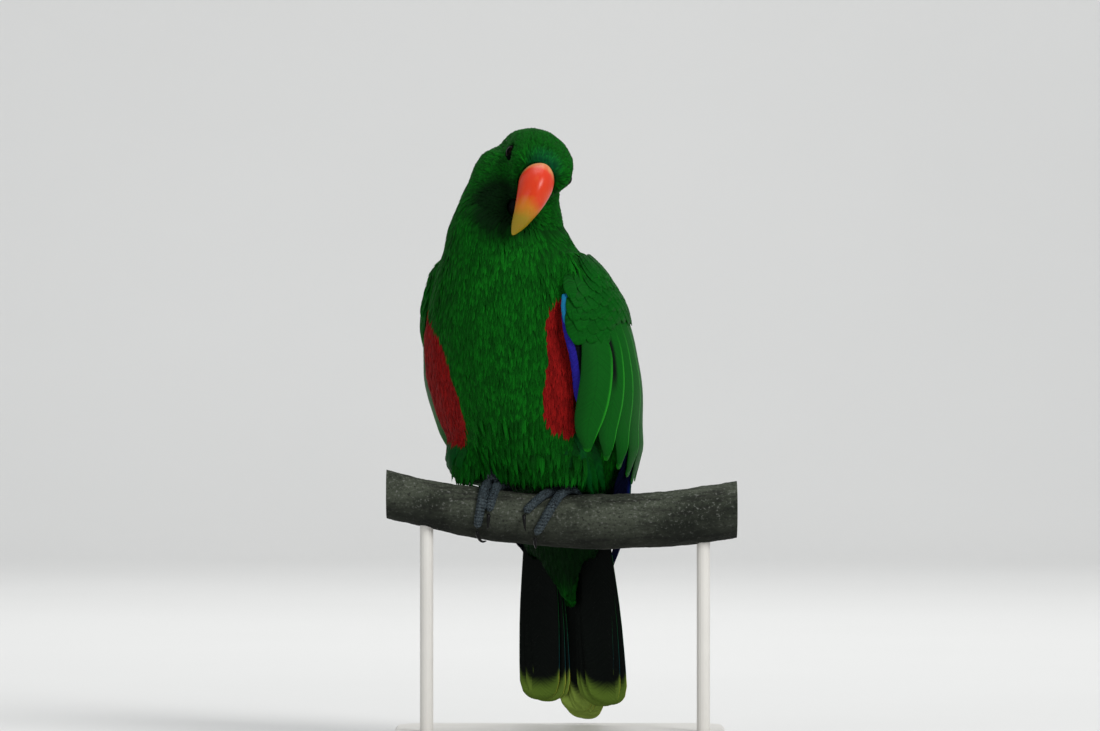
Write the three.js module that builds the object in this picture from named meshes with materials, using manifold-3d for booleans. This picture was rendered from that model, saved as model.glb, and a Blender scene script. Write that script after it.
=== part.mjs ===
// A male eclectus parrot, life size, perched on a short cut length of branch that two rods hold over a flat base.
// Millimetres, +Z up. The origin is the middle of the base's underside. The bird faces -Y, turned a little to -X.
import * as THREE from "three";
import { mergeVertices } from "three/addons/utils/BufferGeometryUtils.js";
import Module from "manifold-3d";

const wasm = await Module();
wasm.setup();

const { degToRad, lerp, clamp } = THREE.MathUtils;

// Driving dimensions
const GAP = 0.3; // left between pieces that touch
const DETAIL = 0.15; // how far a cut surface may move when its small faces are joined
const BASE = { length: 200, width: 170, thick: 12, corner: 18, bevel: 1.5 };
const ROD = { radius: 4, at: { right: -80, left: 86 } };
const PERCH = { from: -104, to: 106, lowestX: 22, lowestZ: 137.8, sag: 0.00105, radius: 15.4, taper: 0.011 };
const BODY = { x: -18, y: 8, turn: -25, top: 365, bottom: 108, neckCut: 303 };
const HEAD = { x: 14.5, y: -29, z: 346.6, turn: 30.5, nod: 15, tilt: 26.4 };
const EYE = { x: 16.5, y: -11.8, z: 7.4, radius: 5.1 };
const TOE = { radius: 3, grip: 0.75 };
const CLAW = { radius: 1.75, tip: 0.35, sweep: 36, arch: [2.3, 4.6, 4.4, 1.2] };
const FEATHER = { camber: 2.2 };
const TIP = { depth: 12, share: 1 };

// Outer form of the plumage on trunk and neck, level by level: height, shift to the bird's left,
// shift backwards, half width, reach to the front and reach to the back.
const TRUNK = [
  [108, 0, 54, 20, 9, 12],
  [120, 0, 50, 26, 12.5, 18],
  [132, 0, 46, 30, 16, 22.5],
  [145, 0, 40, 35, 21, 29],
  [155, 0, 33, 40, 30, 35.5],
  [166, 0, 25, 47, 40, 41],
  [178, -1.5, 17.5, 54, 47, 46],
  [193, -2.7, 11, 57.5, 51, 48],
  [211, -5, 5.5, 59.5, 53.5, 50.5],
  [229, -6.5, 0, 59.5, 54, 51],
  [247, -6.5, -4, 58.5, 54, 50],
  [265, -3.5, -10, 54, 51, 48],
  [288, -0.5, -20, 46.5, 43, 43],
  [305, -1.5, -26, 40, 37, 37],
  [320, -3.5, -28.5, 33, 31, 31.5],
  [335, 0.2, -26, 29.7, 27, 28],
  [350, 1.5, -22, 27, 24, 26],
  [365, 4, -20, 23.5, 19, 21],
];

// Outer form of a folded wing: height, shift backwards, half width, reach to the front, reach to the back,
// then the angles of its leading and trailing edge from the breast's middle, and its thickness.
const WING = [
  [84, 62, 26, 14, 22, 48, 140, 2],
  [106, 56, 31, 20, 28, 48, 140, 2],
  [122, 51, 38.5, 26, 34, 48, 142, 3],
  [140, 41, 46.5, 36, 41, 48, 145, 3],
  [160, 29, 53, 46, 47, 48, 150, 5],
  [172, 21, 59, 52, 54, 47, 158, 9],
  [181, 16, 63, 55, 58.5, 46.5, 162, 14],
  [193, 11, 64.5, 57, 62, 46.5, 165, 18],
  [211, 5.5, 66, 59, 63.5, 49, 166, 20],
  [235, -1, 65, 60, 62, 52, 160, 21],
  [253, -6, 64, 58.5, 59.5, 50.5, 150, 21],
  [268, -11, 62.5, 56, 57.5, 52, 140, 20],
  [283, -18, 56.5, 50, 52, 56, 126, 17],
  [292, -21.5, 52, 46, 47, 62, 116, 13],
  [298, -24, 48, 43, 43.5, 72, 106, 10],
];
// The right flank is fluffed out, so the right wing is held further back and out, most of all at one height.
const HELD = { left: { sweep: 0, out: 0 }, right: { sweep: 17, out: 2.6 }, height: 236, reach: 48 };
// Rows of feather tips: their number, the angle they start at and their spacing; tips holds the lowest tip's
// height, the rise to both sides, a slant, and which feather is lowest.
const SECONDARIES = {
  top: 298, many: 9, from: 44, step: 11.6, tips: [160, 4.2, -1, 4.5], notch: 8,
  lead: 40, trail: 166, under: 0, share: 1, rows: 11,
};
const PRIMARIES = {
  top: 205, many: 5, from: 86, step: 10, tips: [106, 5, -1, 2.2], notch: 8,
  lead: 84, trail: 138, under: 2.5, share: 0.5, rows: 6,
};
const TAIL = {
  right: { root: [-15, 50, 130], tip: [-20, 66, 29], half: 17, thick: 4.2 },
  left: { root: [15.5, 51, 130], tip: [19, 67, 27], half: 17.5, thick: 4.2 },
  middle: { root: [0, 53, 130], tip: [5, 69.5, 20], half: 14.5, thick: 3.6 },
};

// Small helpers for curves and for the swelling of rounded ends
const closer = (t) => t - (0.6 * Math.sin(2 * Math.PI * t)) / (2 * Math.PI);
const dome = (t, length) => Math.sqrt(1 - (1 - clamp(t / length, 0, 1)) ** 2);
const count = (n) => Array.from({ length: n }, (_, i) => i);

// A smooth curve through the rows of a table, read at a value of its first column
function read(table, at) {
  const last = table.length - 1;
  const above = table.findIndex((row) => row[0] > at);
  const i = clamp((above < 0 ? last : above) - 1, 0, last - 1);
  const [before, low, high, after] = [i - 1, i, i + 1, i + 2].map((k) => table[clamp(k, 0, last)]);
  const span = high[0] - low[0];
  const t = clamp((at - low[0]) / span, 0, 1);
  return low.map((from, k) => {
    const to = high[k];
    const slopeLow = ((to - before[k]) / (high[0] - before[0])) * span;
    const slopeHigh = ((after[k] - from) / (after[0] - low[0])) * span;
    const a = 2 * from - 2 * to + slopeLow + slopeHigh;
    const b = -3 * from + 3 * to - 2 * slopeLow - slopeHigh;
    return ((a * t + b) * t + slopeLow) * t + from;
  });
}

// A sphere's rings moved to place(t, angle), with t from pole to pole, and the faces turned outwards
function shell(place, rings, sides) {
  const sphere = new THREE.SphereGeometry(1, sides, rings);
  const points = sphere.attributes.position;
  for (let i = 0; i < points.count; i++) {
    const ring = Math.floor(i / (sides + 1));
    const turn = i % (sides + 1);
    const angle = (2 * Math.PI * (turn % sides)) / sides - Math.PI / 2;
    points.setXYZ(i, ...place(ring / rings, angle).toArray());
  }
  return facingOut(sphere);
}

function facingOut(geometry) {
  const points = geometry.attributes.position;
  const index = geometry.index.array;
  const corner = (i) => new THREE.Vector3().fromBufferAttribute(points, index[i]);
  let volume = 0;
  for (let i = 0; i < index.length; i += 3) {
    volume += corner(i).dot(corner(i + 1).cross(corner(i + 2)));
  }
  for (let i = 0; volume < 0 && i < index.length; i += 3) {
    [index[i + 1], index[i + 2]] = [index[i + 2], index[i + 1]];
  }
  return geometry;
}

// A body between an upper and a lower profile in the plane x = 0, with a half width along them that
// narrows below by jaw
function between(upper, lower, halfWidth, rings, sides, jaw = 0) {
  const place = (t, angle) => {
    const s = closer(t);
    const top = upper.getPoint(s);
    const middle = top.clone().add(lower.getPoint(s)).multiplyScalar(0.5);
    const reach = top.sub(middle).multiplyScalar(Math.cos(angle));
    const narrow = 1 - jaw * clamp(0.6 - Math.cos(angle), 0, 1) ** 0.8;
    return middle.add(reach).add(new THREE.Vector3(halfWidth(s) * narrow * Math.sin(angle), 0, 0));
  };
  return shell(place, rings, sides);
}

const profile = (points) => new THREE.CatmullRomCurve3(points.map(([y, z]) => new THREE.Vector3(0, y, z)));

// A round limb along a curve: size(s) gives half its width along side, and half its height
function limb(curve, size, side, rings, sides) {
  const place = (t, angle) => {
    const s = closer(t);
    const [wide, high] = size(s);
    const along = curve.getTangent(s);
    const across = side.clone().addScaledVector(along, -side.dot(along)).normalize();
    const up = new THREE.Vector3().crossVectors(across, along);
    const round = dome(t, 0.2) * dome(1 - t, 0.2);
    const sideways = across.multiplyScalar(wide * round * Math.sin(angle));
    return curve.getPoint(s).add(sideways).addScaledVector(up, high * round * Math.cos(angle));
  };
  return shell(place, rings, sides);
}

// A sheet of feathers: a box whose points go to at(s, across, face), with s from root to tip, across from
// 0 to 1, and face from 1 outside to -1 inside, smaller where the sheet thins out to its edges
function sheet(at, rows, columns) {
  const box = new THREE.BoxGeometry(1, 1, 1, columns, rows, 1);
  const points = box.attributes.position;
  for (let i = 0; i < points.count; i++) {
    const across = points.getX(i) + 0.5;
    const s = 0.5 - points.getY(i);
    const face = 2 * points.getZ(i) * Math.max(1 - (2 * across - 1) ** 2, 0.02) ** 0.35 * (0.4 + 0.6 * dome(s, 0.1));
    points.setXYZ(i, ...at(s, across, face * (0.4 + 0.6 * dome(1 - s, 0.1))).toArray());
  }
  return facingOut(box);
}

// Solids for cutting and joining
function merged(geometry) {
  const bare = geometry.clone();
  bare.deleteAttribute("normal");
  bare.deleteAttribute("uv");
  return mergeVertices(bare, 1e-3);
}

function solid(geometry) {
  const { attributes, index } = merged(geometry);
  const vertProperties = attributes.position.array;
  return new wasm.Manifold(new wasm.Mesh({ numProp: 3, vertProperties, triVerts: new Uint32Array(index.array) }));
}

// The same solid grown outwards, to cut a neighbour clear of it
function grown(geometry, by = GAP) {
  const wider = merged(geometry);
  wider.computeVertexNormals();
  const { position, normal } = wider.attributes;
  for (let i = 0; i < position.count; i++) {
    const point = new THREE.Vector3().fromBufferAttribute(position, i);
    point.addScaledVector(new THREE.Vector3().fromBufferAttribute(normal, i), by);
    position.setXYZ(i, ...point.toArray());
  }
  return solid(wider);
}

function geometryOf(manifold) {
  const mesh = manifold.getMesh();
  return new THREE.BufferGeometry()
    .setAttribute("position", new THREE.BufferAttribute(mesh.vertProperties, 3))
    .setIndex(new THREE.BufferAttribute(mesh.triVerts, 1));
}

const join = (solids) => solids.reduce((sum, next) => sum.add(next));
const cut = (body, cutters) => cutters.reduce((rest, next) => rest.subtract(next), body);
const largest = (manifold) => manifold.decompose().sort((a, b) => b.volume() - a.volume())[0];
const carve = (body, cutters) => outerSkin(geometryOf(largest(cut(body, cutters)).simplify(DETAIL)));

// Pockets shut inside a solid are filled: only the surface with the most faces stays
function outerSkin(geometry) {
  const index = geometry.index.array;
  const owner = Uint32Array.from({ length: geometry.attributes.position.count }, (_, i) => i);
  const find = (i) => (owner[i] === i ? i : (owner[i] = find(owner[i])));
  for (let i = 0; i < index.length; i += 3) {
    owner[find(index[i + 1])] = find(index[i]);
    owner[find(index[i + 2])] = find(index[i]);
  }
  const surfaces = Object.values(Object.groupBy(count(index.length / 3), (face) => find(index[3 * face])));
  const outer = surfaces.sort((a, b) => b.length - a.length)[0];
  const kept = outer.flatMap((face) => [index[3 * face], index[3 * face + 1], index[3 * face + 2]]);
  return mergeVertices(geometry.clone().setIndex(kept).toNonIndexed(), 1e-4);
}

// Materials
const finish = (color, roughness) => new THREE.MeshStandardMaterial({ color, roughness, metalness: 0 });
const PLUMAGE = finish(0x0f6a1c, 0.7);
const WING_GREEN = finish(0x0d7a26, 0.6);
const TAIL_BLACK = finish(0x0a0d0b, 0.6);
const BILL_ORANGE = finish(0xd8391f, 0.3);
const BILL_BLACK = finish(0x0b0b0d, 0.35);
const EYE_DARK = finish(0x0d0806, 0.1);
const FOOT_GREY = finish(0x39454d, 0.7);
const CLAW_BLACK = finish(0x0c0c0e, 0.35);
const BARK = finish(0x4a463e, 0.9);
const STAND_PAINT = finish(0xd9d6cf, 0.5);

// The scene graph: the bird stands turned on the perch, and its head is turned and tilted on the neck
const root = new THREE.Group();
const bird = new THREE.Group();
bird.position.set(BODY.x, BODY.y, 0);
bird.rotation.z = degToRad(BODY.turn);
root.add(bird);
const head = new THREE.Group();
head.position.set(HEAD.x, HEAD.y, HEAD.z);
head.rotation.set(degToRad(HEAD.nod), degToRad(HEAD.tilt), degToRad(HEAD.turn), "ZXY");
bird.add(head);
root.updateMatrixWorld(true);

function add(group, name, geometry, material) {
  const mesh = new THREE.Mesh(geometry, material);
  mesh.name = name;
  group.add(mesh);
}

// A shape of one group, seen from another group
function seenFrom(group, owner, geometry) {
  const shift = group.matrixWorld.clone().invert().multiply(owner.matrixWorld);
  return geometry.clone().applyMatrix4(shift);
}

// Perch: a sagging length of branch with sawn ends
const perchZ = (x) => PERCH.lowestZ + PERCH.sag * (x - PERCH.lowestX) ** 2;
const perchRadius = (x) => PERCH.radius + PERCH.taper * (x + 40) + 0.6 * Math.sin(x / 17) * Math.sin(x / 29 + 1);

function perch() {
  const stops = count(7).map((i) => lerp(PERCH.from, PERCH.to, i / 6));
  const middle = new THREE.CatmullRomCurve3(stops.map((x) => new THREE.Vector3(x, 0, perchZ(x))));
  const round = new THREE.Shape().absarc(0, 0, 1, 0, 2 * Math.PI);
  const tube = new THREE.ExtrudeGeometry(round, { steps: 13, curveSegments: 10, extrudePath: middle });
  const points = tube.attributes.position;
  for (let i = 0; i < points.count; i++) {
    const x = points.getX(i);
    points.setY(i, points.getY(i) * perchRadius(x));
    points.setZ(i, perchZ(x) + (points.getZ(i) - perchZ(x)) * perchRadius(x));
  }
  return tube;
}

// Stand: a flat base with two round rods that carry the perch
function standBase() {
  const { length, width, thick, corner, bevel } = BASE;
  const [a, b] = [length / 2 - bevel, width / 2 - bevel];
  const outline = new THREE.Shape();
  outline.absarc(a - corner, -b + corner, corner, -Math.PI / 2, 0);
  outline.absarc(a - corner, b - corner, corner, 0, Math.PI / 2);
  outline.absarc(-a + corner, b - corner, corner, Math.PI / 2, Math.PI);
  outline.absarc(-a + corner, -b + corner, corner, Math.PI, 1.5 * Math.PI);
  const edge = { bevelThickness: bevel, bevelSize: bevel, bevelSegments: 1 };
  const plate = new THREE.ExtrudeGeometry(outline, { depth: thick - 2 * bevel, curveSegments: 2, ...edge });
  return plate.translate(0, 0, bevel);
}

function rod(x) {
  const [low, high] = [BASE.thick + GAP, perchZ(x)];
  const stem = new THREE.CylinderGeometry(ROD.radius, ROD.radius, high - low, 16).rotateX(Math.PI / 2);
  return stem.translate(x, 0, (low + high) / 2);
}

const aroundPerch = grown(perch());
add(root, "perch", perch(), BARK);
add(root, "stand_base", standBase(), STAND_PAINT);
for (const [side, x] of Object.entries(ROD.at)) {
  add(root, `stand_rod_${side}`, carve(solid(rod(x)), [aroundPerch]), STAND_PAINT);
}

// Feet: two toes wind over the front of the perch and two over the back. Each winds from angle to angle,
// measured from the perch's top towards the front, starts at x beside the foot's middle and drifts along.
const FEET = {
  right: {
    at: [-40, 1],
    knee: [-43, 4],
    toes: {
      outer: { from: -8, to: 122, x: -3.2, drift: -6.4, hook: 6 },
      inner: { from: -8, to: 84, x: 3.6, drift: -6.2, hook: -1 },
      rear_outer: { from: 8, to: -116, x: -3.2, drift: 3, hook: 1 },
      rear_inner: { from: 8, to: -68, x: 3.4, drift: 10, hook: 2 },
    },
  },
  left: {
    at: [3.5, 1],
    knee: [2, 6],
    toes: {
      outer: { from: -8, to: 122, x: 2.6, drift: -21, hook: 1 },
      inner: { from: -8, to: 78, x: -3, drift: -22, hook: 1 },
      rear_outer: { from: 8, to: -116, x: 3.2, drift: 14, hook: 2 },
      rear_inner: { from: 8, to: -68, x: -3.2, drift: 5, hook: 1 },
    },
  },
};

function onPerch(x, angle, out) {
  const reach = perchRadius(x) + out;
  return new THREE.Vector3(x, -reach * Math.sin(degToRad(angle)), perchZ(x) + reach * Math.cos(degToRad(angle)));
}

function toe({ at }, { from, to, x, drift }) {
  const size = (s) => TOE.radius * lerp(1.12, 0.88, s);
  const spine = (s) => onPerch(at[0] + x + drift * s, lerp(from, to, s), TOE.grip * size(s));
  const curve = new THREE.CatmullRomCurve3(count(6).map((i) => spine(i / 5)));
  return limb(curve, (s) => [size(s), size(s)], new THREE.Vector3(1, 0, 0), 8, 6);
}

function claw({ at }, { from, to, x, drift, hook }) {
  const way = Math.sign(to - from);
  const last = CLAW.arch.length - 1;
  const spine = CLAW.arch.map((rise, i) => {
    const turn = to + way * (1.6 + (CLAW.sweep * i) / last);
    return onPerch(at[0] + x + drift + hook * (i / last) ** 2, turn, rise);
  });
  const size = (s) => lerp(CLAW.radius, CLAW.tip, s);
  const curve = new THREE.CatmullRomCurve3(spine);
  return limb(curve, (s) => [size(s), size(s) * 1.25], new THREE.Vector3(1, 0, 0), 6, 5);
}

function shank({ at, knee }) {
  const low = perchZ(at[0]) + perchRadius(at[0]) + TOE.radius;
  const [x, y] = at.map((v, i) => lerp(v, knee[i], 0.4));
  const line = [new THREE.Vector3(...at, low), new THREE.Vector3(x, y, low + 9), new THREE.Vector3(...knee, low + 21)];
  return limb(new THREE.CatmullRomCurve3(line), () => [4.8, 5.2], new THREE.Vector3(1, 0, 0), 5, 8);
}

for (const [side, foot] of Object.entries(FEET)) {
  const toes = Object.values(foot.toes).map((path) => solid(toe(foot, path)));
  const claws = Object.entries(foot.toes).map(([name, path]) => [name, claw(foot, path)]);
  const aroundClaws = claws.map(([, shape]) => grown(shape));
  const limbs = join([solid(shank(foot)), ...toes]);
  add(root, `foot_${side}`, carve(limbs, [aroundPerch, ...aroundClaws]), FOOT_GREY);
  for (const [name, shape] of claws) {
    add(root, `claw_${side}_${name}`, carve(solid(shape), [aroundPerch]), CLAW_BLACK);
  }
}
const limbsOf = (foot) => Object.values(foot.toes).flatMap((path) => [toe(foot, path), claw(foot, path)]);
const gripping = Object.values(FEET).flatMap((foot) => [shank(foot), ...limbsOf(foot)]);
const aroundGrip = [perch(), ...gripping].map((shape) => grown(seenFrom(bird, root, shape)));

// Head, with its bill and eyes
const FACE = { front: [-31, 1], back: [36, -6], width: 27.6, jaw: 0.56 };
const SKULL_TOP = profile([FACE.front, [-29, 10], [-22, 18.5], [-8, 25], [9, 26], [25, 19], [34, 5], FACE.back]);
const SKULL_LOW = profile([FACE.front, [-30, -9], [-26, -19], [-14, -27], [3, -31], [20, -30], [31, -20], FACE.back]);
const skullWidth = (s) => FACE.width * Math.abs(Math.sin(Math.PI * clamp(s, 0, 1) ** 0.86)) ** 0.62;
const skull = () => between(SKULL_TOP, SKULL_LOW, skullWidth, 14, 16, FACE.jaw);

const CULMEN = profile([[-20, 4], [-29, 13], [-41, 8], [-47.5, -4], [-47, -18], [-41, -32]]);
const TOMIUM = profile([[-20, 4], [-23, -9], [-29, -13], [-34.5, -17], [-38, -22], [-41, -32]]);
const upperWidth = (s) => 11.4 * dome(s, 0.4) * (1 - 0.8 * s ** 2) * dome(1 - s, 0.15);
const upperBill = () => between(CULMEN, TOMIUM, upperWidth, 12, 12);
const GONYS_TOP = profile([[-12, -10], [-20, -11], [-27, -14], [-31, -18.5]]);
const GONYS_LOW = profile([[-12, -10], [-15, -20.5], [-23, -25], [-31, -18.5]]);
const lowerWidth = (s) => 7.0 * dome(s, 0.3) * dome(1 - s, 0.45);
const lowerBill = () => between(GONYS_TOP, GONYS_LOW, lowerWidth, 7, 10);
const eyeball = (sign) => new THREE.SphereGeometry(EYE.radius, 10, 7).translate(sign * EYE.x, EYE.y, EYE.z);

const SIDES = { right: -1, left: 1 };
const inHead = [upperBill(), lowerBill(), ...Object.values(SIDES).map(eyeball)];
add(head, "bill_upper", upperBill(), BILL_ORANGE);
add(head, "bill_lower", carve(solid(lowerBill()), [grown(upperBill())]), BILL_BLACK);
for (const [side, sign] of Object.entries(SIDES)) {
  add(head, `eye_${side}`, eyeball(sign), EYE_DARK);
}
add(head, "head", carve(solid(skull()), inHead.map((shape) => grown(shape))), PLUMAGE);
const aroundHead = [skull(), upperBill(), lowerBill()].map((shape) => grown(seenFrom(bird, head, shape)));

// Trunk and neck: one smooth form, parted by a thin level cut
function torso() {
  const place = (t, angle) => {
    const z = lerp(BODY.top, BODY.bottom, closer(t));
    const [, side, back, half, front, rear] = read(TRUNK, z);
    const round = dome(t, 0.1) * dome(1 - t, 0.07);
    const depth = Math.cos(angle) > 0 ? front : rear;
    const x = side + half * round * Math.sin(angle);
    return new THREE.Vector3(x, back - depth * round * Math.cos(angle), z);
  };
  return shell(place, 17, 21);
}

// Thighs: rounded tufts over the shanks
const THIGHS = {
  right: { at: [-31, -5], half: [21, 21], low: 159, high: 208 },
  left: { at: [21, 5], half: [20, 21], low: 157, high: 208 },
};

function thigh({ at, half, low, high }) {
  const place = (t, angle) => {
    const wide = Math.sin(Math.PI * t) * (1 - 0.2 * Math.cos(Math.PI * t));
    const z = lerp(low, high, 0.5 + 0.5 * Math.cos(Math.PI * t));
    return new THREE.Vector3(at[0] + half[0] * wide * Math.sin(angle), at[1] - half[1] * wide * Math.cos(angle), z);
  };
  return shell(place, 8, 12);
}

// Wings: the coverts as one cushion over the body, and the flight feathers laid on and under it
function onWing(side, angle, z, depth) {
  const [, back, half, front, rear] = read(WING, z);
  const turn = degToRad(angle);
  const reach = Math.cos(turn) > 0 ? front : rear;
  const out = HELD[side].out * Math.exp(-(((z - HELD.height) / HELD.reach) ** 2)) - depth;
  return new THREE.Vector3(SIDES[side] * (half + out) * Math.sin(turn), back - (reach + out) * Math.cos(turn), z);
}

// Feathers end in a row of tips: their height at an angle, with a notch between each two
const tipHeight = (row, angle) => {
  const place = clamp((angle - row.from) / row.step, 0, row.many);
  const low = row.tips[0] + row.tips[1] * Math.abs(place - row.tips[3]) + row.tips[2] * (place - row.tips[3]);
  return low + row.notch * Math.abs(2 * (place % 1) - 1) ** 2;
};

function folded(side, row) {
  const at = (s, across, face) => {
    const z = lerp(row.top, tipHeight(row, row.from + row.step * row.many * across), s);
    const [, , , , , lead, trail, thick] = read(WING, z);
    const start = Math.max(lead, row.lead) + HELD[side].sweep;
    const end = Math.min(trail, row.trail);
    return onWing(side, lerp(start, end, across), z, row.under + row.share * thick * (0.5 - 0.5 * face));
  };
  return sheet(at, row.rows, 2 * row.many);
}

// Tail: two lobes of stacked feathers in front, and the longest middle pair behind them
function rectrices({ root: base, tip, half, thick }, extra) {
  const at = (s, across, face) => {
    const [x, y, z] = base.map((from, i) => lerp(from, tip[i], s));
    const wide = (2 * across - 1) * lerp(0.94, 1, s);
    const rounding = TIP.depth * (1 - dome(1 - Math.abs(2 * across - 1), TIP.share)) * s;
    const rise = rounding + extra * lerp(1, -1, s);
    const back = FEATHER.camber * wide ** 2 + (thick / 2) * face + extra * Math.sign(face);
    return new THREE.Vector3(x + (half + extra) * wide, y - back, z + rise);
  };
  return sheet(at, 8, 8);
}

const tail = (extra) => Object.values(TAIL).map((group) => solid(rectrices(group, extra)));

// Coverts of the tail: a pointed tuft below it and one above it
function tuft(points, wide, high) {
  const curve = new THREE.CatmullRomCurve3(points.map((p) => new THREE.Vector3(...p)));
  const size = (s) => [lerp(wide, 3, s ** 1.4), lerp(high, 1.2, s)];
  return limb(curve, size, new THREE.Vector3(1, 0, 0), 7, 10);
}
const underCoverts = () => tuft([[0, 38, 132], [1, 44, 112], [4, 52, 84]], 21, 9);
const upperCoverts = () => tuft([[0, 62, 134], [1, 66, 112], [2, 69, 86]], 22, 8);

// Joining the bird: each piece is cut clear of those before it
const body = solid(torso());
const aroundBody = grown(torso());
const aroundThighs = Object.values(THIGHS).map((sizes) => grown(thigh(sizes)));
const aroundTail = tail(2 * GAP);
const slab = (low, high) => solid(new THREE.BoxGeometry(400, 400, high - low).translate(0, 0, (low + high) / 2));
const belowCut = slab(0, BODY.neckCut);
const aboveCut = slab(BODY.neckCut + GAP, 500);

for (const [side, sizes] of Object.entries(THIGHS)) {
  add(bird, `thigh_${side}`, carve(solid(thigh(sizes)), aroundGrip), PLUMAGE);
}
const legs = [...aroundThighs, ...aroundGrip];
add(bird, "tail", carve(join(tail(0)), []), TAIL_BLACK);
add(bird, "trunk", carve(body.intersect(belowCut), [...legs, ...aroundTail]), PLUMAGE);
add(bird, "neck", carve(body.intersect(aboveCut), aroundHead), PLUMAGE);

const aroundTufts = [underCoverts(), upperCoverts()].map((shape) => grown(shape));
add(bird, "undertail_coverts", carve(solid(underCoverts()), [aroundBody, ...aroundTail, ...aroundGrip]), PLUMAGE);
add(bird, "uppertail_coverts", carve(solid(upperCoverts()), [aroundBody, ...aroundTail]), PLUMAGE);
for (const side of Object.keys(SIDES)) {
  const wing = join([SECONDARIES, PRIMARIES].map((row) => solid(folded(side, row))));
  const clear = [aroundBody, ...legs, ...aroundTail, ...aroundTufts, ...aroundHead];
  add(bird, `wing_${side}`, carve(wing, clear), WING_GREEN);
}

export default root;
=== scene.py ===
import math

import bmesh
import bpy
import numpy as np
from mathutils import Matrix, Vector, noise
from mathutils.bvhtree import BVHTree


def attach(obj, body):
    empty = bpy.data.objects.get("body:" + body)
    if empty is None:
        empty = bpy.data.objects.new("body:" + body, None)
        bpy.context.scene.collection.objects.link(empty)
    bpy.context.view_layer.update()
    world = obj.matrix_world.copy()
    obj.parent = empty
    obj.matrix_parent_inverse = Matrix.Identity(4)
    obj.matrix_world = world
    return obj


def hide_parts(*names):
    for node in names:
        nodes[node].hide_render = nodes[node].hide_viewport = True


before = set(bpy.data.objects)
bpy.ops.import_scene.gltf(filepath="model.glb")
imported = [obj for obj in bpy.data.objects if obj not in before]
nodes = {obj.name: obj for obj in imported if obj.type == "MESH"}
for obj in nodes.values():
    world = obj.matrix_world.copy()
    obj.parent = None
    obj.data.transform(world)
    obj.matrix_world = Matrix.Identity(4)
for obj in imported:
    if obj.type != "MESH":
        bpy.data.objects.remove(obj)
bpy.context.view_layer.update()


# Studio: a seamless pale paper sweep under and behind the model, one large soft light from the upper right
# front, a weaker one from the left, a broad one from above and one on the paper behind. The camera stands
# level, a long way off.
MM = 0.001
CAMERA = {"at": (-0.006, -3.5, 0.2315), "lens": 191, "sensor": 36}
SWEEP = {"half": 7, "front": -7, "back": 3.4, "bend": 1.6, "top": 5, "floor_share": 0.5, "wall_share": 0.15}
MODEL_MIDDLE = (0, 0, 0.22)
PAPER_MIDDLE = (0, 5.0, 0.7)


def into_scene(name, data):
    made = bpy.data.objects.new(name, data)
    bpy.context.scene.collection.objects.link(made)
    return made


def mesh_from(name, shape):
    mesh = bpy.data.meshes.new(name)
    shape.to_mesh(mesh)
    shape.free()
    return mesh


def smoothed(piece):
    for polygon in piece.data.polygons:
        polygon.use_smooth = True
    return piece


camera = into_scene("camera", bpy.data.cameras.new("camera"))
camera.data.lens = CAMERA["lens"]
camera.data.sensor_width = CAMERA["sensor"]
camera.data.clip_end = 50
camera.location = CAMERA["at"]
camera.rotation_euler = (math.radians(90), 0, 0)
bpy.context.scene.camera = camera

shape = bmesh.new()
bmesh.ops.create_grid(shape, x_segments=1, y_segments=60, size=1)
for vert in shape.verts:
    along = (vert.co.y + 1) / 2
    wall_start = 1 - SWEEP["wall_share"]
    flat = (SWEEP["back"] - SWEEP["front"]) * min(along / SWEEP["floor_share"], 1) + SWEEP["front"]
    bent = (along - SWEEP["floor_share"]) / (wall_start - SWEEP["floor_share"])
    turn = min(max(bent, 0), 1) * math.pi / 2
    rise = max((along - wall_start) / SWEEP["wall_share"], 0) * (SWEEP["top"] - SWEEP["bend"])
    vert.co = (
        vert.co.x * SWEEP["half"],
        flat + SWEEP["bend"] * math.sin(turn),
        SWEEP["bend"] * (1 - math.cos(turn)) + rise,
    )
sweep = smoothed(into_scene("sweep", mesh_from("sweep", shape)))

for name, at, size, power, aim in (
    ("key", (1.5, -1.9, 1.7), 1.0, 62, MODEL_MIDDLE),
    ("fill", (-2.0, -1.8, 0.9), 1.6, 13, MODEL_MIDDLE),
    ("top", (0.0, 0.4, 2.4), 1.6, 22, MODEL_MIDDLE),
    ("backdrop", (0.0, 1.6, 2.8), 2.4, 62, PAPER_MIDDLE),
):
    light = into_scene(name, bpy.data.lights.new(name, "AREA"))
    light.data.size = size
    light.data.energy = power
    light.location = at
    light.rotation_euler = (Vector(aim) - light.location).to_track_quat("-Z", "Y").to_euler()

bpy.context.scene.view_settings.view_transform = "Standard"
world = bpy.data.worlds.new("studio")
bpy.context.scene.world = world
world.use_nodes = True
world.node_tree.nodes["Background"].inputs["Color"].default_value = (0.9, 0.95, 1, 1)
world.node_tree.nodes["Background"].inputs["Strength"].default_value = 0.38


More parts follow.
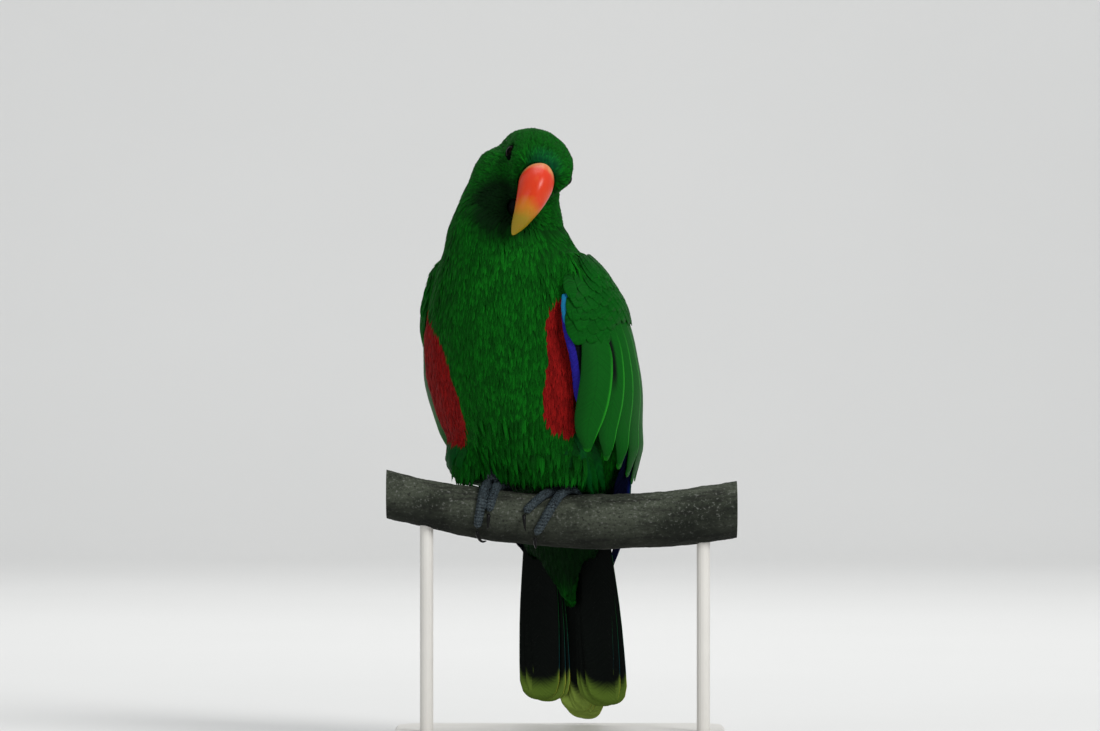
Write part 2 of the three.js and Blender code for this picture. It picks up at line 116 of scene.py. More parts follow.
class Wire:
    """One output of a material's nodes. Sums of wires and numbers become Math nodes."""

    def __init__(self, tree, socket=None):
        self.tree = tree
        self.socket = socket

    def node(self, kind, settings=None, sockets=None, out=0):
        made = self.tree.nodes.new(kind)
        for name, value in (settings or {}).items():
            if name == "stops":
                while len(made.color_ramp.elements) < len(value):
                    made.color_ramp.elements.new(0.5)
                for element, (place, color) in zip(made.color_ramp.elements, value):
                    element.position = place
                    element.color = color
            else:
                setattr(made, name, value)
        for name, value in (sockets or {}).items():
            if isinstance(value, Wire):
                self.tree.links.new(value.socket, made.inputs[name])
            else:
                made.inputs[name].default_value = value
        return Wire(self.tree, made.outputs[out])

    def math(self, operation, first, second=0.0):
        return self.node("ShaderNodeMath", {"operation": operation}, {0: first, 1: second})

    def __add__(self, other):
        return self.math("ADD", self, other)

    __radd__ = __add__

    def __sub__(self, other):
        return self.math("SUBTRACT", self, other)

    def __rsub__(self, other):
        return self.math("SUBTRACT", other, self)

    def __mul__(self, other):
        return self.math("MULTIPLY", self, other)

    __rmul__ = __mul__

    def ease(self, low, high, start=0.0, end=1.0):
        return self.node(
            "ShaderNodeMapRange",
            {"interpolation_type": "SMOOTHSTEP"},
            {"Value": self, "From Min": low, "From Max": high, "To Min": start, "To Max": end},
        )


def mixed(share, first, second):
    return share.node("ShaderNodeMix", {"data_type": "RGBA"}, {0: share, 6: first, 7: second}, 2)


def place_of(wire):
    return wire.node("ShaderNodeTexCoord", out="Object")


def value_of(wire, name):
    return wire.node("ShaderNodeAttribute", {"attribute_name": name}, out="Fac")


def grain(wire, scale, detail=3.0, rough=0.55, stretch=(1, 1, 1), turn=(0, 0, 0)):
    at = wire.node(
        "ShaderNodeMapping", None, {"Vector": place_of(wire), "Rotation": turn, "Scale": stretch}
    )
    return wire.node(
        "ShaderNodeTexNoise", None, {"Vector": at, "Scale": scale, "Detail": detail, "Roughness": rough}
    )


def bumped(height, distance, strength=1.0):
    return height.node(
        "ShaderNodeBump", None, {"Height": height, "Distance": distance, "Strength": strength}, "Normal"
    )


def finish_of(name, look, **constants):
    made = bpy.data.materials.new(name)
    made.use_nodes = True
    shader = made.node_tree.nodes["Principled BSDF"]
    for socket, value in constants.items():
        shader.inputs[socket.replace("_", " ")].default_value = value
    for socket, wire in look(Wire(made.node_tree)).items():
        made.node_tree.links.new(wire.socket, shader.inputs[socket])
    return made


def paper(start):
    tone = grain(start, 1.5)
    return {"Base Color": mixed(tone, (0.70, 0.695, 0.68, 1), (0.74, 0.735, 0.72, 1))}


sweep.data.materials.append(finish_of("paper", paper, Roughness=0.9, Specular_IOR_Level=0.1))


# Stand: a flat base of sprayed board with two short steel rods screwed into it. They carry the perch, and
# all three are painted the same warm white.
def paint(start):
    mottle = grain(start, 60, 4)
    skin = grain(start, 900, 2)
    return {
        "Base Color": mixed(mottle, (0.60, 0.58, 0.54, 1), (0.66, 0.64, 0.60, 1)),
        "Roughness": mottle.ease(0.3, 0.7, 0.36, 0.5),
        "Normal": bumped(skin, 0.00006),
    }


stand_paint = finish_of("stand_paint", paint)
for name in ("stand_base", "stand_rod_right", "stand_rod_left"):
    nodes[name].data.materials.clear()
    nodes[name].data.materials.append(stand_paint)
    for polygon in nodes[name].data.polygons:
        polygon.use_smooth = name != "stand_base"


# Perch: a cut length of living branch. The bark is smooth, grey-brown and speckled, with short raised pores
# that run round it, and both sawn ends show pale wood with growth rings.
PERCH = {"from": -104, "to": 106, "lowest": (22, 137.8), "sag": 0.00105, "radius": 15.4, "taper": 0.011}
BARK = {"along": 300, "around": 132, "lump": 0.55, "wrinkle": 0.32, "pore": 0.22, "inside": 0.1}
SAW_BEVEL = 0.6
RINGS_PER_METRE = 4200


def perch_z(x):
    return PERCH["lowest"][1] + PERCH["sag"] * (x - PERCH["lowest"][0]) ** 2


def perch_radius(x):
    swell = 0.6 * math.sin(x / 17) * math.sin(x / 29 + 1)
    return PERCH["radius"] + PERCH["taper"] * (x + 40) + swell


shape = bmesh.new()
bmesh.ops.create_grid(shape, x_segments=BARK["along"], y_segments=BARK["around"], size=1)
under = shape.verts.layers.float.new("under")
for vert in shape.verts:
    x = PERCH["from"] + (PERCH["to"] - PERCH["from"]) * (vert.co.x + 1) / 2
    turn = vert.co.y * math.pi
    out = Vector((0, math.cos(turn), math.sin(turn)))
    lump = noise.fractal(Vector((x / 26, out.y * 0.9, out.z * 0.9)), 0.8, 2.2, 3)
    wrinkle = noise.fractal(Vector((x / 9, out.y * 7, out.z * 7)), 0.7, 2.1, 4)
    pores = noise.noise(Vector((x / 0.8, out.y * 5, out.z * 5)))
    reach = perch_radius(x) - BARK["inside"] + BARK["lump"] * lump + BARK["wrinkle"] * wrinkle
    reach += BARK["pore"] * max(pores - 0.35, 0)
    # Painted shade: a share that darkens the underside of the branch
    vert[under] = min(max(0.35 - out.z, 0), 1)
    vert.co = MM * Vector((x, reach * out.y, perch_z(x) + reach * out.z))
bmesh.ops.remove_doubles(shape, verts=shape.verts, dist=1e-6)
rims = [edge for edge in shape.edges if edge.is_boundary]
ends = bmesh.ops.holes_fill(shape, edges=rims, sides=0)["faces"]
for face in ends:
    face.material_index = 1
bmesh.ops.inset_region(shape, faces=ends, thickness=SAW_BEVEL * MM, use_even_offset=True)
bmesh.ops.recalc_face_normals(shape, faces=shape.faces)
bark_perch = into_scene("branch", mesh_from("branch", shape))
for polygon in bark_perch.data.polygons:
    polygon.use_smooth = polygon.material_index == 0


def bark(start):
    patches = grain(start, 42, 5, 0.6, (0.7, 1, 1))
    speckle = grain(start, 620, 3, 0.7, (0.8, 1, 1))
    streaks = grain(start, 160, 4, 0.65, (0.16, 1, 1))
    color = mixed(patches.ease(0.36, 0.64), (0.012, 0.015, 0.010, 1), (0.056, 0.064, 0.046, 1))
    color = mixed(streaks.ease(0.50, 0.66) * 0.7, color, (0.012, 0.012, 0.010, 1))
    color = mixed(speckle.ease(0.55, 0.70) * 0.7, color, (0.150, 0.155, 0.140, 1))
    color = mixed(speckle.ease(0.46, 0.32) * 0.8, color, (0.008, 0.008, 0.007, 1))
    # Painted shade on the underside of the branch
    color = mixed(value_of(start, "under") * 0.72, color, (0.005, 0.006, 0.005, 1))
    height = speckle * 0.5 + streaks + patches * 0.6
    return {
        "Base Color": color,
        "Roughness": speckle.ease(0.3, 0.7, 0.8, 0.95),
        "Normal": bumped(height, 0.0009, 0.9),
    }


def sawn(start):
    middle = start.node("ShaderNodeMapping", None, {"Vector": place_of(start), "Scale": (0, 1, 1)})
    heart = (0, 0, MM * perch_z(PERCH["to"]))
    away = start.node("ShaderNodeVectorMath", {"operation": "DISTANCE"}, {0: middle, 1: heart}, "Value")
    wobble = grain(start, 90, 2)
    phase = away * RINGS_PER_METRE + wobble * 4
    rings = phase.math("SINE", phase)
    color = mixed(rings.ease(-1, 1), (0.36, 0.25, 0.15, 1), (0.52, 0.40, 0.26, 1))
    color = mixed(away.ease(0.013, 0.0155), color, (0.16, 0.11, 0.07, 1))
    return {"Base Color": color, "Normal": bumped(grain(start, 700, 3), 0.0003)}


bark_perch.data.materials.append(finish_of("bark", bark, Specular_IOR_Level=0.12))
bark_perch.data.materials.append(finish_of("sawn_wood", sawn, Roughness=0.8))
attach(bark_perch, "root")
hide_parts("perch")


# Skin: one closed form under all the feathers of head, neck, trunk, thighs, shoulders and tail root. It is
# the outer form drawn in by the depth of the coat, and dark green, red and blue as the coat above it.
BIRD = Matrix.Translation((-18 * MM, 8 * MM, 0)) @ Matrix.Rotation(math.radians(-25), 4, "Z")
HEAD_TURN = (
    Matrix.Rotation(math.radians(30.5), 4, "Z")
    @ Matrix.Rotation(math.radians(15), 4, "X")
    @ Matrix.Rotation(math.radians(26.4), 4, "Y")
)
HEAD = BIRD @ Matrix.Translation((14.5 * MM, -29 * MM, 346.6 * MM)) @ HEAD_TURN
FLESH = ["head", "neck", "trunk", "thigh_right", "thigh_left", "undertail_coverts", "uppertail_coverts"]
WINGS = ["wing_right", "wing_left"]
WING_CUT = 214 * MM
SKIN_VOXEL = 1.6 * MM
COAT_DEPTH = {"body": 2.8, "head": 1.4}
# The middle of the trunk: height, and how far back
AXIS = MM * np.array(
    [
        (108, 54), (120, 50), (132, 46), (145, 40), (155, 33), (166, 25), (178, 17.5), (193, 11), (211, 5.5),
        (229, 0), (247, -4), (265, -10), (288, -20), (305, -26), (320, -28.5), (335, -26), (362, -20),
    ]
)


def seen_from(matrix, points):
    inverse = np.array(matrix.inverted())
    return points @ inverse[:3, :3].T + inverse[:3, 3]


def ramp(values, low, high):
    share = np.clip((values - low) / (high - low), 0, 1)
    return share * share * (3 - 2 * share)


def round_body(points):
    """Angle round the body from the breast's middle, in degrees, and height"""
    x, y, z = seen_from(BIRD, points).T
    return np.degrees(np.arctan2(x, np.interp(z, *AXIS.T) - y)), z


# The red flanks: height, then where the red starts on the right and on the left of the breast, in degrees
RED = np.array(
    [
        (176, 60, 70), (181, 42, 70), (187, 34, 47), (191, 30, 34), (199, 29, 30), (211, 28, 31),
        (223, 31, 34.5), (238, 35, 38), (247, 40, 38), (256, 52, 39), (263, 64, 43), (268, 74, 48),
        (273, 84, 56), (279, 90, 75),
    ]
)


def markings(points):
    """Shares of red, of painted shade and of a painted teal sheen in the plumage at points of the model"""
    angle, z = round_body(points)
    right = np.interp(z, MM * RED[:, 0], RED[:, 1])
    left = np.interp(z, MM * RED[:, 0], RED[:, 2])
    start = np.where(angle < 0, right, left)
    low = np.where(angle < 0, 177 * MM, 189 * MM)
    under_lead = np.where(angle < 0, 72, 58)
    red = ramp(np.abs(angle) - start, -1.0, 1.5) * ramp(z, low - 2 * MM, low + 2 * MM)
    red = red * (1 - ramp(np.abs(angle), under_lead, under_lead + 8)) * (1 - ramp(z, 272 * MM, 277 * MM))
    # Painted shade: the dark share is a shadow under the bill over the chin, and a darker belly and vent low
    # on the body
    face = seen_from(HEAD, points)
    from_chin = (face - MM * np.array([-9, -19, -25])) / (MM * np.array([21, 22, 19]))
    chin_shadow = 1 - ramp(np.linalg.norm(from_chin, axis=1), 0.6, 1.35)
    belly = 1 - ramp(z, 160 * MM, 205 * MM)
    vent = ramp(z, 82 * MM, 106 * MM) * (1 - ramp(z, 140 * MM, 160 * MM))
    # Painted sheen: a teal tint on the feathers at the base of the bill
    crown = np.linalg.norm(face - MM * np.array([0, -27, 14]), axis=1)
    teal = 1 - ramp(crown, 3 * MM, 15 * MM)
    return {"red": red, "dark": np.clip(1.12 * chin_shadow + 0.16 * belly + 0.9 * vent, 0, 1), "teal": teal}


def loose_copy(name, cut=None):
    made = bmesh.new()
    made.from_mesh(nodes[name].data)
    bmesh.ops.remove_doubles(made, verts=made.verts, dist=1e-6)
    if cut is not None:
        everything = [*made.verts, *made.edges, *made.faces]
        bmesh.ops.bisect_plane(
            made, geom=everything, plane_co=(0, 0, cut), plane_no=(0, 0, 1), clear_inner=True
        )
        rims = [edge for edge in made.edges if edge.is_boundary]
        bmesh.ops.holes_fill(made, edges=rims, sides=0)
    return made


def joined(name, parts):
    mesh = bpy.data.meshes.new(name)
    whole = bmesh.new()
    for part in parts:
        part.to_mesh(mesh)
        whole.from_mesh(mesh)
        part.free()
    bpy.data.meshes.remove(mesh)
    return into_scene(name, mesh_from(name, whole))


def settled(piece):
    """The piece with its modifiers worked into its mesh"""
    graph = bpy.context.evaluated_depsgraph_get()
    mesh = bpy.data.meshes.new_from_object(piece.evaluated_get(graph))
    piece.modifiers.clear()
    piece.data = mesh
    return piece


def points_of(mesh):
    flat = np.empty(len(mesh.vertices) * 3)
    mesh.vertices.foreach_get("co", flat)
    return flat.reshape(-1, 3)


def normals_of(mesh):
    flat = np.empty(len(mesh.vertices) * 3)
    mesh.vertex_normals.foreach_get("vector", flat)
    return flat.reshape(-1, 3)


def write_values(mesh, values):
    for name, column in values.items():
        made = mesh.attributes.new(name, "FLOAT", "POINT")
        made.data.foreach_set("value", column.astype(np.float32))


def coat_depth(points):
    face = np.linalg.norm(seen_from(HEAD, points), axis=1)
    at_head = 1 - ramp(face, 30 * MM, 52 * MM)
    return MM * (COAT_DEPTH["body"] * (1 - at_head) + COAT_DEPTH["head"] * at_head)


def relaxed(piece, times, voxel=None):
    """The piece with its mesh made anew in even cells, where their size is given, and then smoothed"""
    if voxel:
        remesh = piece.modifiers.new("remesh", "REMESH")
        remesh.mode = "VOXEL"
        remesh.voxel_size = voxel
    smooth = piece.modifiers.new("smooth", "SMOOTH")
    smooth.factor = 0.5
    smooth.iterations = times
    return settled(piece)


flesh = [loose_copy(name) for name in FLESH]
flesh += [loose_copy(name, WING_CUT) for name in WINGS]
skin = joined("skin", flesh)
relaxed(skin, 7, SKIN_VOXEL)
outer = points_of(skin.data)
drawn_in = outer - normals_of(skin.data) * coat_depth(outer)[:, None]
skin.data.vertices.foreach_set("co", drawn_in.ravel())
relaxed(skin, 4)
bpy.context.view_layer.objects.active = skin
bpy.ops.object.mode_set(mode="EDIT")
bpy.ops.mesh.select_all(action="SELECT")
bpy.ops.uv.smart_project(angle_limit=math.radians(66), island_margin=0.002)
bpy.ops.object.mode_set(mode="OBJECT")
skin.data.uv_layers.active.name = "OFBake"
smoothed(skin)
write_values(skin.data, markings(points_of(skin.data)))

GREEN = {
    "deep": (0.0006, 0.022, 0.0014, 1),
    "body": (0.0018, 0.105, 0.0040, 1),
    "light": (0.0060, 0.190, 0.0080, 1),
    "teal": (0.0040, 0.100, 0.0700, 1),
}
RED_COLORS = ((0.060, 0.0015, 0.0015, 1), (0.310, 0.0080, 0.0070, 1))


def plumage_color(start, light):
    """The coat's colour from its markings, with their painted shade and painted sheen, and a light share
    that tells each feather's base from its tip, partly painted shade
    """
    clouds = grain(start, 45, 3)
    color = mixed(light, GREEN["deep"], GREEN["body"])
    color = mixed((light - 0.45) * clouds.ease(0.35, 0.7, 0.4, 1.5), color, GREEN["light"])
    # Painted sheen: teal near the base of the bill
    color = mixed(value_of(start, "teal") * 0.22, color, GREEN["teal"])
    # Painted shade: the dark share darkens the chin under the bill, the belly and the vent
    color = mixed(value_of(start, "dark") * 0.92, color, (0.0006, 0.007, 0.0012, 1))
    return mixed(value_of(start, "red"), color, mixed(light, *RED_COLORS))


# The bare skin carries the coat's painted shade and painted sheen as well
def bare_skin(start):
    light = grain(start, 300, 3).ease(0.3, 0.7, 0.1, 0.45)
    return {"Base Color": plumage_color(start, light)}


skin.data.materials.append(finish_of("skin", bare_skin, Roughness=0.9, Specular_IOR_Level=0.03))
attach(skin, "root")
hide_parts(*FLESH)


# Coat: small soft feathers over the whole skin, laid like tiles from the bill back and down to the tail.
# They are hair fine on the face, narrow on neck and breast, broader on the back, long on thighs and vent.
surface = BVHTree.FromPolygons(
    [vert.co for vert in skin.data.vertices],
    [list(polygon.vertices) for polygon in skin.data.polygons],
)
chance = np.random.default_rng(11)
TUFT = (0.003, 0.003)
SOFT = (0.45, 0.85, 1.0, 0.9, 0.6)
POINTED = (0.5, 0.95, 1.0, 0.75, 0.3)
COAT = {
    "face": {"apart": 1.0, "long": 3.6, "wide": 1.0, "lift": (0.1, 1.25), "size": (3, 3), "shape": SOFT},
    "head": {"apart": 1.3, "long": 5.2, "wide": 1.5, "lift": (0.1, 1.45), "size": (3, 3), "shape": SOFT},
    "neck": {"apart": 1.45, "long": 9.5, "wide": 1.75, "lift": (1.1, 2.3), "size": (3, 4), "shape": SOFT},
    "breast": {"apart": 1.62, "long": 12.5, "wide": 2.0, "lift": (1.2, 2.6), "size": (3, 4), "shape": SOFT},
    "back": {"apart": 2.6, "long": 13.0, "wide": 4.8, "lift": (0.9, 2.8), "size": (4, 4), "shape": SOFT},
    "thighs": {"apart": 1.9, "long": 13.0, "wide": 2.5, "lift": (0.8, 3.1), "size": (3, 4), "shape": SOFT},
    "vent": {"apart": 2.3, "long": 24.0, "wide": 3.8, "lift": (0.0, 3.4), "size": (4, 5), "shape": POINTED},
}


def under_wing(points):
    """Whether points of the skin lie on a folded wing, which has coverts of its own"""
    angle, z = round_body(points)
    low = np.interp(z, MM * np.array([193, 235, 268, 298]), [50, 54, 54, 74])
    high = np.interp(z, MM * np.array([193, 235, 268, 298]), [163, 158, 138, 104])
    start = np.where(angle < 0, low + 14, low)
    return (np.abs(angle) > start) & (np.abs(angle) < high) & (z > 188 * MM) & (z < 272 * MM)


def on_shoulder(points):
    """Share of the rise that lets the body's feathers lap over the roots of the wing coverts"""
    angle, z = round_body(points)
    beside = ramp(np.abs(angle), 42, 54) * (1 - ramp(np.abs(angle), 120, 135))
    return beside * ramp(z, 262 * MM, 280 * MM) * (1 - ramp(z, 296 * MM, 306 * MM))


def at_nape(points):
    """Share of the rise of the feathers where the turned head meets the nape, behind the right eye"""
    return np.exp(-((np.linalg.norm(points - MM * np.array([-33, -17, 365]), axis=1) / (8 * MM)) ** 2))


def region_shares(points):
    angle, z = round_body(points)
    face = seen_from(HEAD, points)
    to_head = np.linalg.norm(face / np.array([1, 1.1, 1.05]), axis=1)
    fore = -face[:, 1]
    on_head = to_head < 37 * MM
    on_face = on_head & (fore > 6 * MM)
    behind = np.abs(angle) > 84
    low = z < 150 * MM
    thigh = (z < 206 * MM) & (np.abs(angle) < 75) & ~low
    return {
        "face": on_face,
        "head": on_head & ~on_face,
        "neck": ~on_head & (z > 296 * MM),
        "back": ~on_head & (z <= 296 * MM) & behind & (z > 135 * MM),
        "thighs": thigh & (z < 183 * MM),
        "vent": ~on_head & ~(behind & (z > 135 * MM)) & low,
        "breast": ~on_head & (z <= 296 * MM) & ~behind & ~low & ~(thigh & (z < 183 * MM)),
    }


def lie_of_coat(points):
    """The way the feathers point: away from the bill on the head, and down to the tail on the body"""
    angle, z = round_body(points)
    face = seen_from(HEAD, points)
    spread = face - MM * np.array([0, -40, 2])
    spread = spread / np.linalg.norm(spread, axis=1)[:, None]
    spread = spread + np.array([0, 0.35, -0.25])
    from_bill = spread @ np.array(HEAD.to_3x3()).T
    back = np.interp(np.abs(angle), [0, 60, 110, 180], [0.02, 0.16, 0.34, 0.42])
    low = ramp(z, 190 * MM, 140 * MM)
    down = np.stack([0 * z, back + 0.45 * low * (1 - back), -1 + 0 * z], axis=1) @ np.array(BIRD.to_3x3()).T
    share = 1 - ramp(np.linalg.norm(face, axis=1), 30 * MM, 55 * MM)
    return from_bill * share[:, None] + down * (1 - share[:, None])


def strewn(apart, allowed):
    """Points strewn over the skin, at most one in each cube of that size, with their UV places"""
    mesh = skin.data
    mesh.calc_loop_triangles()
    corners = np.empty(len(mesh.loop_triangles) * 3, int)
    loops = np.empty(len(mesh.loop_triangles) * 3, int)
    mesh.loop_triangles.foreach_get("vertices", corners)
    mesh.loop_triangles.foreach_get("loops", loops)
    flat = np.empty(len(mesh.loops) * 2)
    mesh.uv_layers["OFBake"].data.foreach_get("uv", flat)
    triangles = points_of(mesh)[corners.reshape(-1, 3)]
    charts = flat.reshape(-1, 2)[loops.reshape(-1, 3)]
    fits = allowed(triangles.mean(axis=1))
    triangles = triangles[fits]
    charts = charts[fits]
    edges = np.cross(triangles[:, 1] - triangles[:, 0], triangles[:, 2] - triangles[:, 0])
    area = np.linalg.norm(edges, axis=1) / 2
    many = int(area.sum() / apart**2 * 6)
    pick = chance.choice(len(area), many, p=area / area.sum())
    weight = chance.dirichlet((1, 1, 1), many)
    points = (triangles[pick] * weight[:, :, None]).sum(axis=1)
    places = (charts[pick] * weight[:, :, None]).sum(axis=1)
    _, first = np.unique(np.floor(points / (apart * 1.12)).astype(int), axis=0, return_index=True)
    return points[first], places[first]


def unit(vectors):
    return vectors / np.maximum(np.linalg.norm(vectors, axis=-1, keepdims=True), 1e-9)


def blade(columns, rows, width, tip, fringe=0.0, lean=0.0):
    """A flat vane from a grid: across and along of each point, its row, where it comes across the vane, how
    far its tip end is drawn back, and the faces. The tip leans to one side by a share of the width lost."""
    made = bmesh.new()
    bmesh.ops.create_grid(made, x_segments=columns, y_segments=rows, size=1)
    made.verts.ensure_lookup_table()
    across = np.array([vert.co.x for vert in made.verts])
    along = np.array([(vert.co.y + 1) / 2 for vert in made.verts])
    faces = np.array([[vert.index for vert in face.verts] for face in made.faces])
    made.free()
    column = np.rint((across + 1) / 2 * columns).astype(int)
    back = -tip * (1 - np.sqrt(1 - np.abs(across) ** 2.4 * 0.999)) * along**3
    back = back - fringe * (column % 2) * (along > 0.99)
    wide = np.interp(along, np.linspace(0, 1, len(width)), width)
    return {
        "across": across,
        "along": along,
        "row": np.rint(along * rows).astype(int),
        "reach": across * wide + lean * (1 - wide) * (along > 0.5),
        "back": back,
        "faces": faces,
        "rows": rows,
    }


def vanes(name, form, path, side, up, wide, camber, values, charts, patch):
    """One mesh of many vanes. path, side and up hold a row of vectors for each vane, from its root to its
    tip; charts is each vane's place in the UV map and patch its size there."""
    many = len(path)
    row = form["row"]
    tangent = np.gradient(path, axis=1) * form["rows"]
    middle = path[:, row] + tangent[:, row] * form["back"][None, :, None]
    reach = form["reach"][None, :] * (wide[:, None] / 2)
    arch = camber[:, None] * ((1 - form["across"] ** 2) * np.sin(form["along"] * 2.6))[None, :]
    points = middle + side[:, row] * reach[:, :, None] + up[:, row] * arch[:, :, None]
    size = len(form["across"])
    faces = (form["faces"][None] + (np.arange(many) * size)[:, None, None]).reshape(-1, 4)
    mesh = bpy.data.meshes.new(name)
    mesh.vertices.add(many * size)
    mesh.vertices.foreach_set("co", points.astype(np.float32).ravel())
    mesh.loops.add(faces.size)
    mesh.loops.foreach_set("vertex_index", faces.astype(np.int32).ravel())
    mesh.polygons.add(len(faces))
    mesh.polygons.foreach_set("loop_start", np.arange(0, faces.size, 4, dtype=np.int32))
    mesh.polygons.foreach_set("use_smooth", np.ones(len(faces), bool))
    mesh.update(calc_edges=True)
    spot = np.stack([form["across"] / 2, form["along"] - 0.5], axis=1)[None] * np.asarray(patch)
    chart = (charts[:, None, :] + spot).reshape(-1, 2)
    layer = mesh.uv_layers.new(name="OFBake")
    layer.data.foreach_set("uv", chart[faces.ravel()].astype(np.float32).ravel())
    whole = {"across": np.tile(form["across"], many), "along": np.tile(form["along"], many)}
    whole.update({key: np.repeat(column, size) for key, column in values.items()})
    write_values(mesh, whole)
    return into_scene(name, mesh)


def led_over_skin(roots, length, rows, lift):
    """Paths of feathers that start at roots and follow the lie of the coat, rising towards their tips"""
    path = np.empty((len(roots), rows + 1, 3))
    up = np.empty_like(path)
    for index, root in enumerate(roots):
        place, normal, _, _ = surface.find_nearest(Vector(root))
        path[index, 0] = place
        up[index, 0] = normal
    for step in range(1, rows + 1):
        way = lie_of_coat(path[:, step - 1])
        way = way + chance_turn(len(roots)) * (step == 1)
        way = unit(way - up[:, step - 1] * (way * up[:, step - 1]).sum(axis=1)[:, None])
        ahead = path[:, step - 1] + way * (length / rows)[:, None]
        for index, point in enumerate(ahead):
            place, normal, _, _ = surface.find_nearest(Vector(point))
            path[index, step] = place
            up[index, step] = normal
    up = unit(up + np.roll(up, 1, axis=1) * (np.arange(rows + 1) > 0)[None, :, None])
    share = np.linspace(0, 1, rows + 1) ** 0.75
    uneven = chance.uniform(0.85, 1.12, (len(roots), 1, 1))
    height = lift[0] + (lift[1] - lift[0]) * share[None, :, None] * uneven
    side = unit(np.cross(np.gradient(path, axis=1), up))
    return path + up * height * MM, side, up


def chance_turn(many):
    return chance.normal(0, 0.10, (many, 3))


def feather(start):
    along = value_of(start, "along")
    across = value_of(start, "across")
    tone = value_of(start, "tone")
    barbs = start.node(
        "ShaderNodeTexNoise",
        {"noise_dimensions": "1D"},
        {"W": tone * 90 + across * 5 + along * 0.6, "Scale": 1.6, "Detail": 2.0},
    )
    shaft = across.math("ABSOLUTE", across).ease(0.0, 0.22)
    # Darker at the root and lighter at the tip: partly the feather's own colour, partly painted shade where
    # each root lies under the feathers above
    light = along.ease(0.1, 0.95, 0.36, 0.60) + (barbs - 0.5) * 0.6 + (tone - 0.5) * 0.34
    light = light * shaft.ease(0, 1, 0.85, 1)
    light = light.ease(0.0, 1.1)
    return {
        "Base Color": plumage_color(start, light),
        "Roughness": barbs.ease(0.2, 0.8, 0.5, 0.7),
        "Normal": bumped(barbs, 0.0003, 0.7),
    }


plumage = finish_of("plumage", feather, Specular_IOR_Level=0.04)
BARE = {"at": (0, -33, -4), "spread": (1.1, 1, 1.6), "radius": 10}
RISE = {"shoulder": 1.3, "nape": 2.8}
for region, sizes in COAT.items():
    roots, charts = strewn(
        sizes["apart"] * MM,
        lambda points, region=region: region_shares(points)[region] & ~under_wing(points),
    )
    from_bill = (seen_from(HEAD, roots) - MM * np.array(BARE["at"])) / np.array(BARE["spread"])
    kept = np.linalg.norm(from_bill, axis=1) > BARE["radius"] * MM
    roots = roots[kept]
    charts = charts[kept]
    length = sizes["long"] * MM * chance.uniform(0.82, 1.15, len(roots))
    path, side, up = led_over_skin(roots, length, sizes["size"][1], sizes["lift"])
    rise = on_shoulder(roots) * RISE["shoulder"] + at_nape(roots) * RISE["nape"]
    path = path + up * (rise * MM)[:, None, None]
    form = blade(*sizes["size"], sizes["shape"], 0.16, 0.12)
    tone = chance.uniform(0, 1, len(roots))
    values = {"tone": tone, **markings(path[:, -2])}
    values["red"] = np.clip((values["red"] - 0.5 + 0.35 * (tone - 0.5)) * 7 + 0.5, 0, 1)
    wide = sizes["wide"] * MM * chance.uniform(0.85, 1.15, len(roots))
    piece = vanes(f"coat_{region}", form, path, side, up, wide, wide * 0.1, values, charts, TUFT)
    piece.data.materials.append(plumage)
    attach(piece, "root")


# Wings: each folded wing is laid over the shoulder and flank. Rows of round coverts cover its arm, long
# green flight feathers hang from it, the front one on top, and dark blue wing tips reach back beside the
# tail. A violet strip edges it in front, and soft feathers of flank and belly hang below, over the legs.
WING = np.array(
    [
        # height, middle of the body there, half width, reach to front and back, angles where the wing's
        # leading and trailing edges lie, from the breast's middle
        (84, 62, 26, 14, 22, 48, 140), (106, 56, 31, 20, 28, 48, 140), (122, 51, 38.5, 26, 34, 48, 142),
        (140, 41, 46.5, 36, 41, 48, 145), (160, 29, 53, 46, 47, 48, 150), (172, 21, 59, 52, 54, 47, 158),
        (181, 16, 63, 55, 58.5, 46.5, 162), (193, 11, 64.5, 57, 62, 46.5, 165),
        (211, 5.5, 66, 59, 63.5, 49, 166), (235, -1, 65, 60, 62, 52, 160),
        (253, -6, 64, 58.5, 59.5, 50.5, 150), (268, -11, 62.5, 56, 57.5, 52, 140),
        (283, -18, 56.5, 50, 52, 56, 126), (292, -21.5, 52, 46, 47, 62, 116),
        (298, -24, 48, 43, 43.5, 72, 106),
    ]
)
# Side of the body, angle that the leading edge is swept back, bulge outwards, and how far its edges tuck in
HELD = {"right": (-1, 17, 2.6, 9.0), "left": (1, 0, 0, 4.0)}


def smooth_read(table, at):
    """A smooth curve through the rows of a table, at values of its first column"""
    last = len(table) - 1
    low = np.clip(np.searchsorted(table[:, 0], at, side="right") - 1, 0, last - 1)
    before, high, after = (np.clip(low + step, 0, last) for step in (-1, 1, 2))
    span = (table[high, 0] - table[low, 0])[:, None]
    t = np.clip((at - table[low, 0])[:, None] / span, 0, 1)
    change = table[high] - table[low]
    slope_low = (table[high] - table[before]) / (table[high, 0] - table[before, 0])[:, None] * span
    slope_high = (table[after] - table[low]) / (table[after, 0] - table[low, 0])[:, None] * span
    cubic = -2 * change + slope_low + slope_high
    square = 3 * change - 2 * slope_low - slope_high
    return ((cubic * t + square) * t + slope_low) * t + table[low]


def on_wing(side, share, z, out):
    """Points on a wing, in the bird's own directions: share runs from its leading to its trailing edge"""
    sign, sweep, bulge, tuck = HELD[side]
    _, back, half, front, rear, lead, trail = smooth_read(WING, z).T
    turn = np.radians(lead + sweep + (trail - lead - sweep) * share)
    inset = 1 - np.clip(1 - (2 * np.clip(share, 0, 0.5) - 1) ** 2, 0.02, 1) ** 0.35
    out = out + bulge * np.exp(-(((z - 236) / 48) ** 2)) - tuck * (inset + 0.45 * ramp(z, 228, 196))
    reach = np.where(np.cos(turn) > 0, front, rear)
    return np.stack([sign * (half + out) * np.sin(turn), back - (reach + out) * np.cos(turn), z], axis=-1)


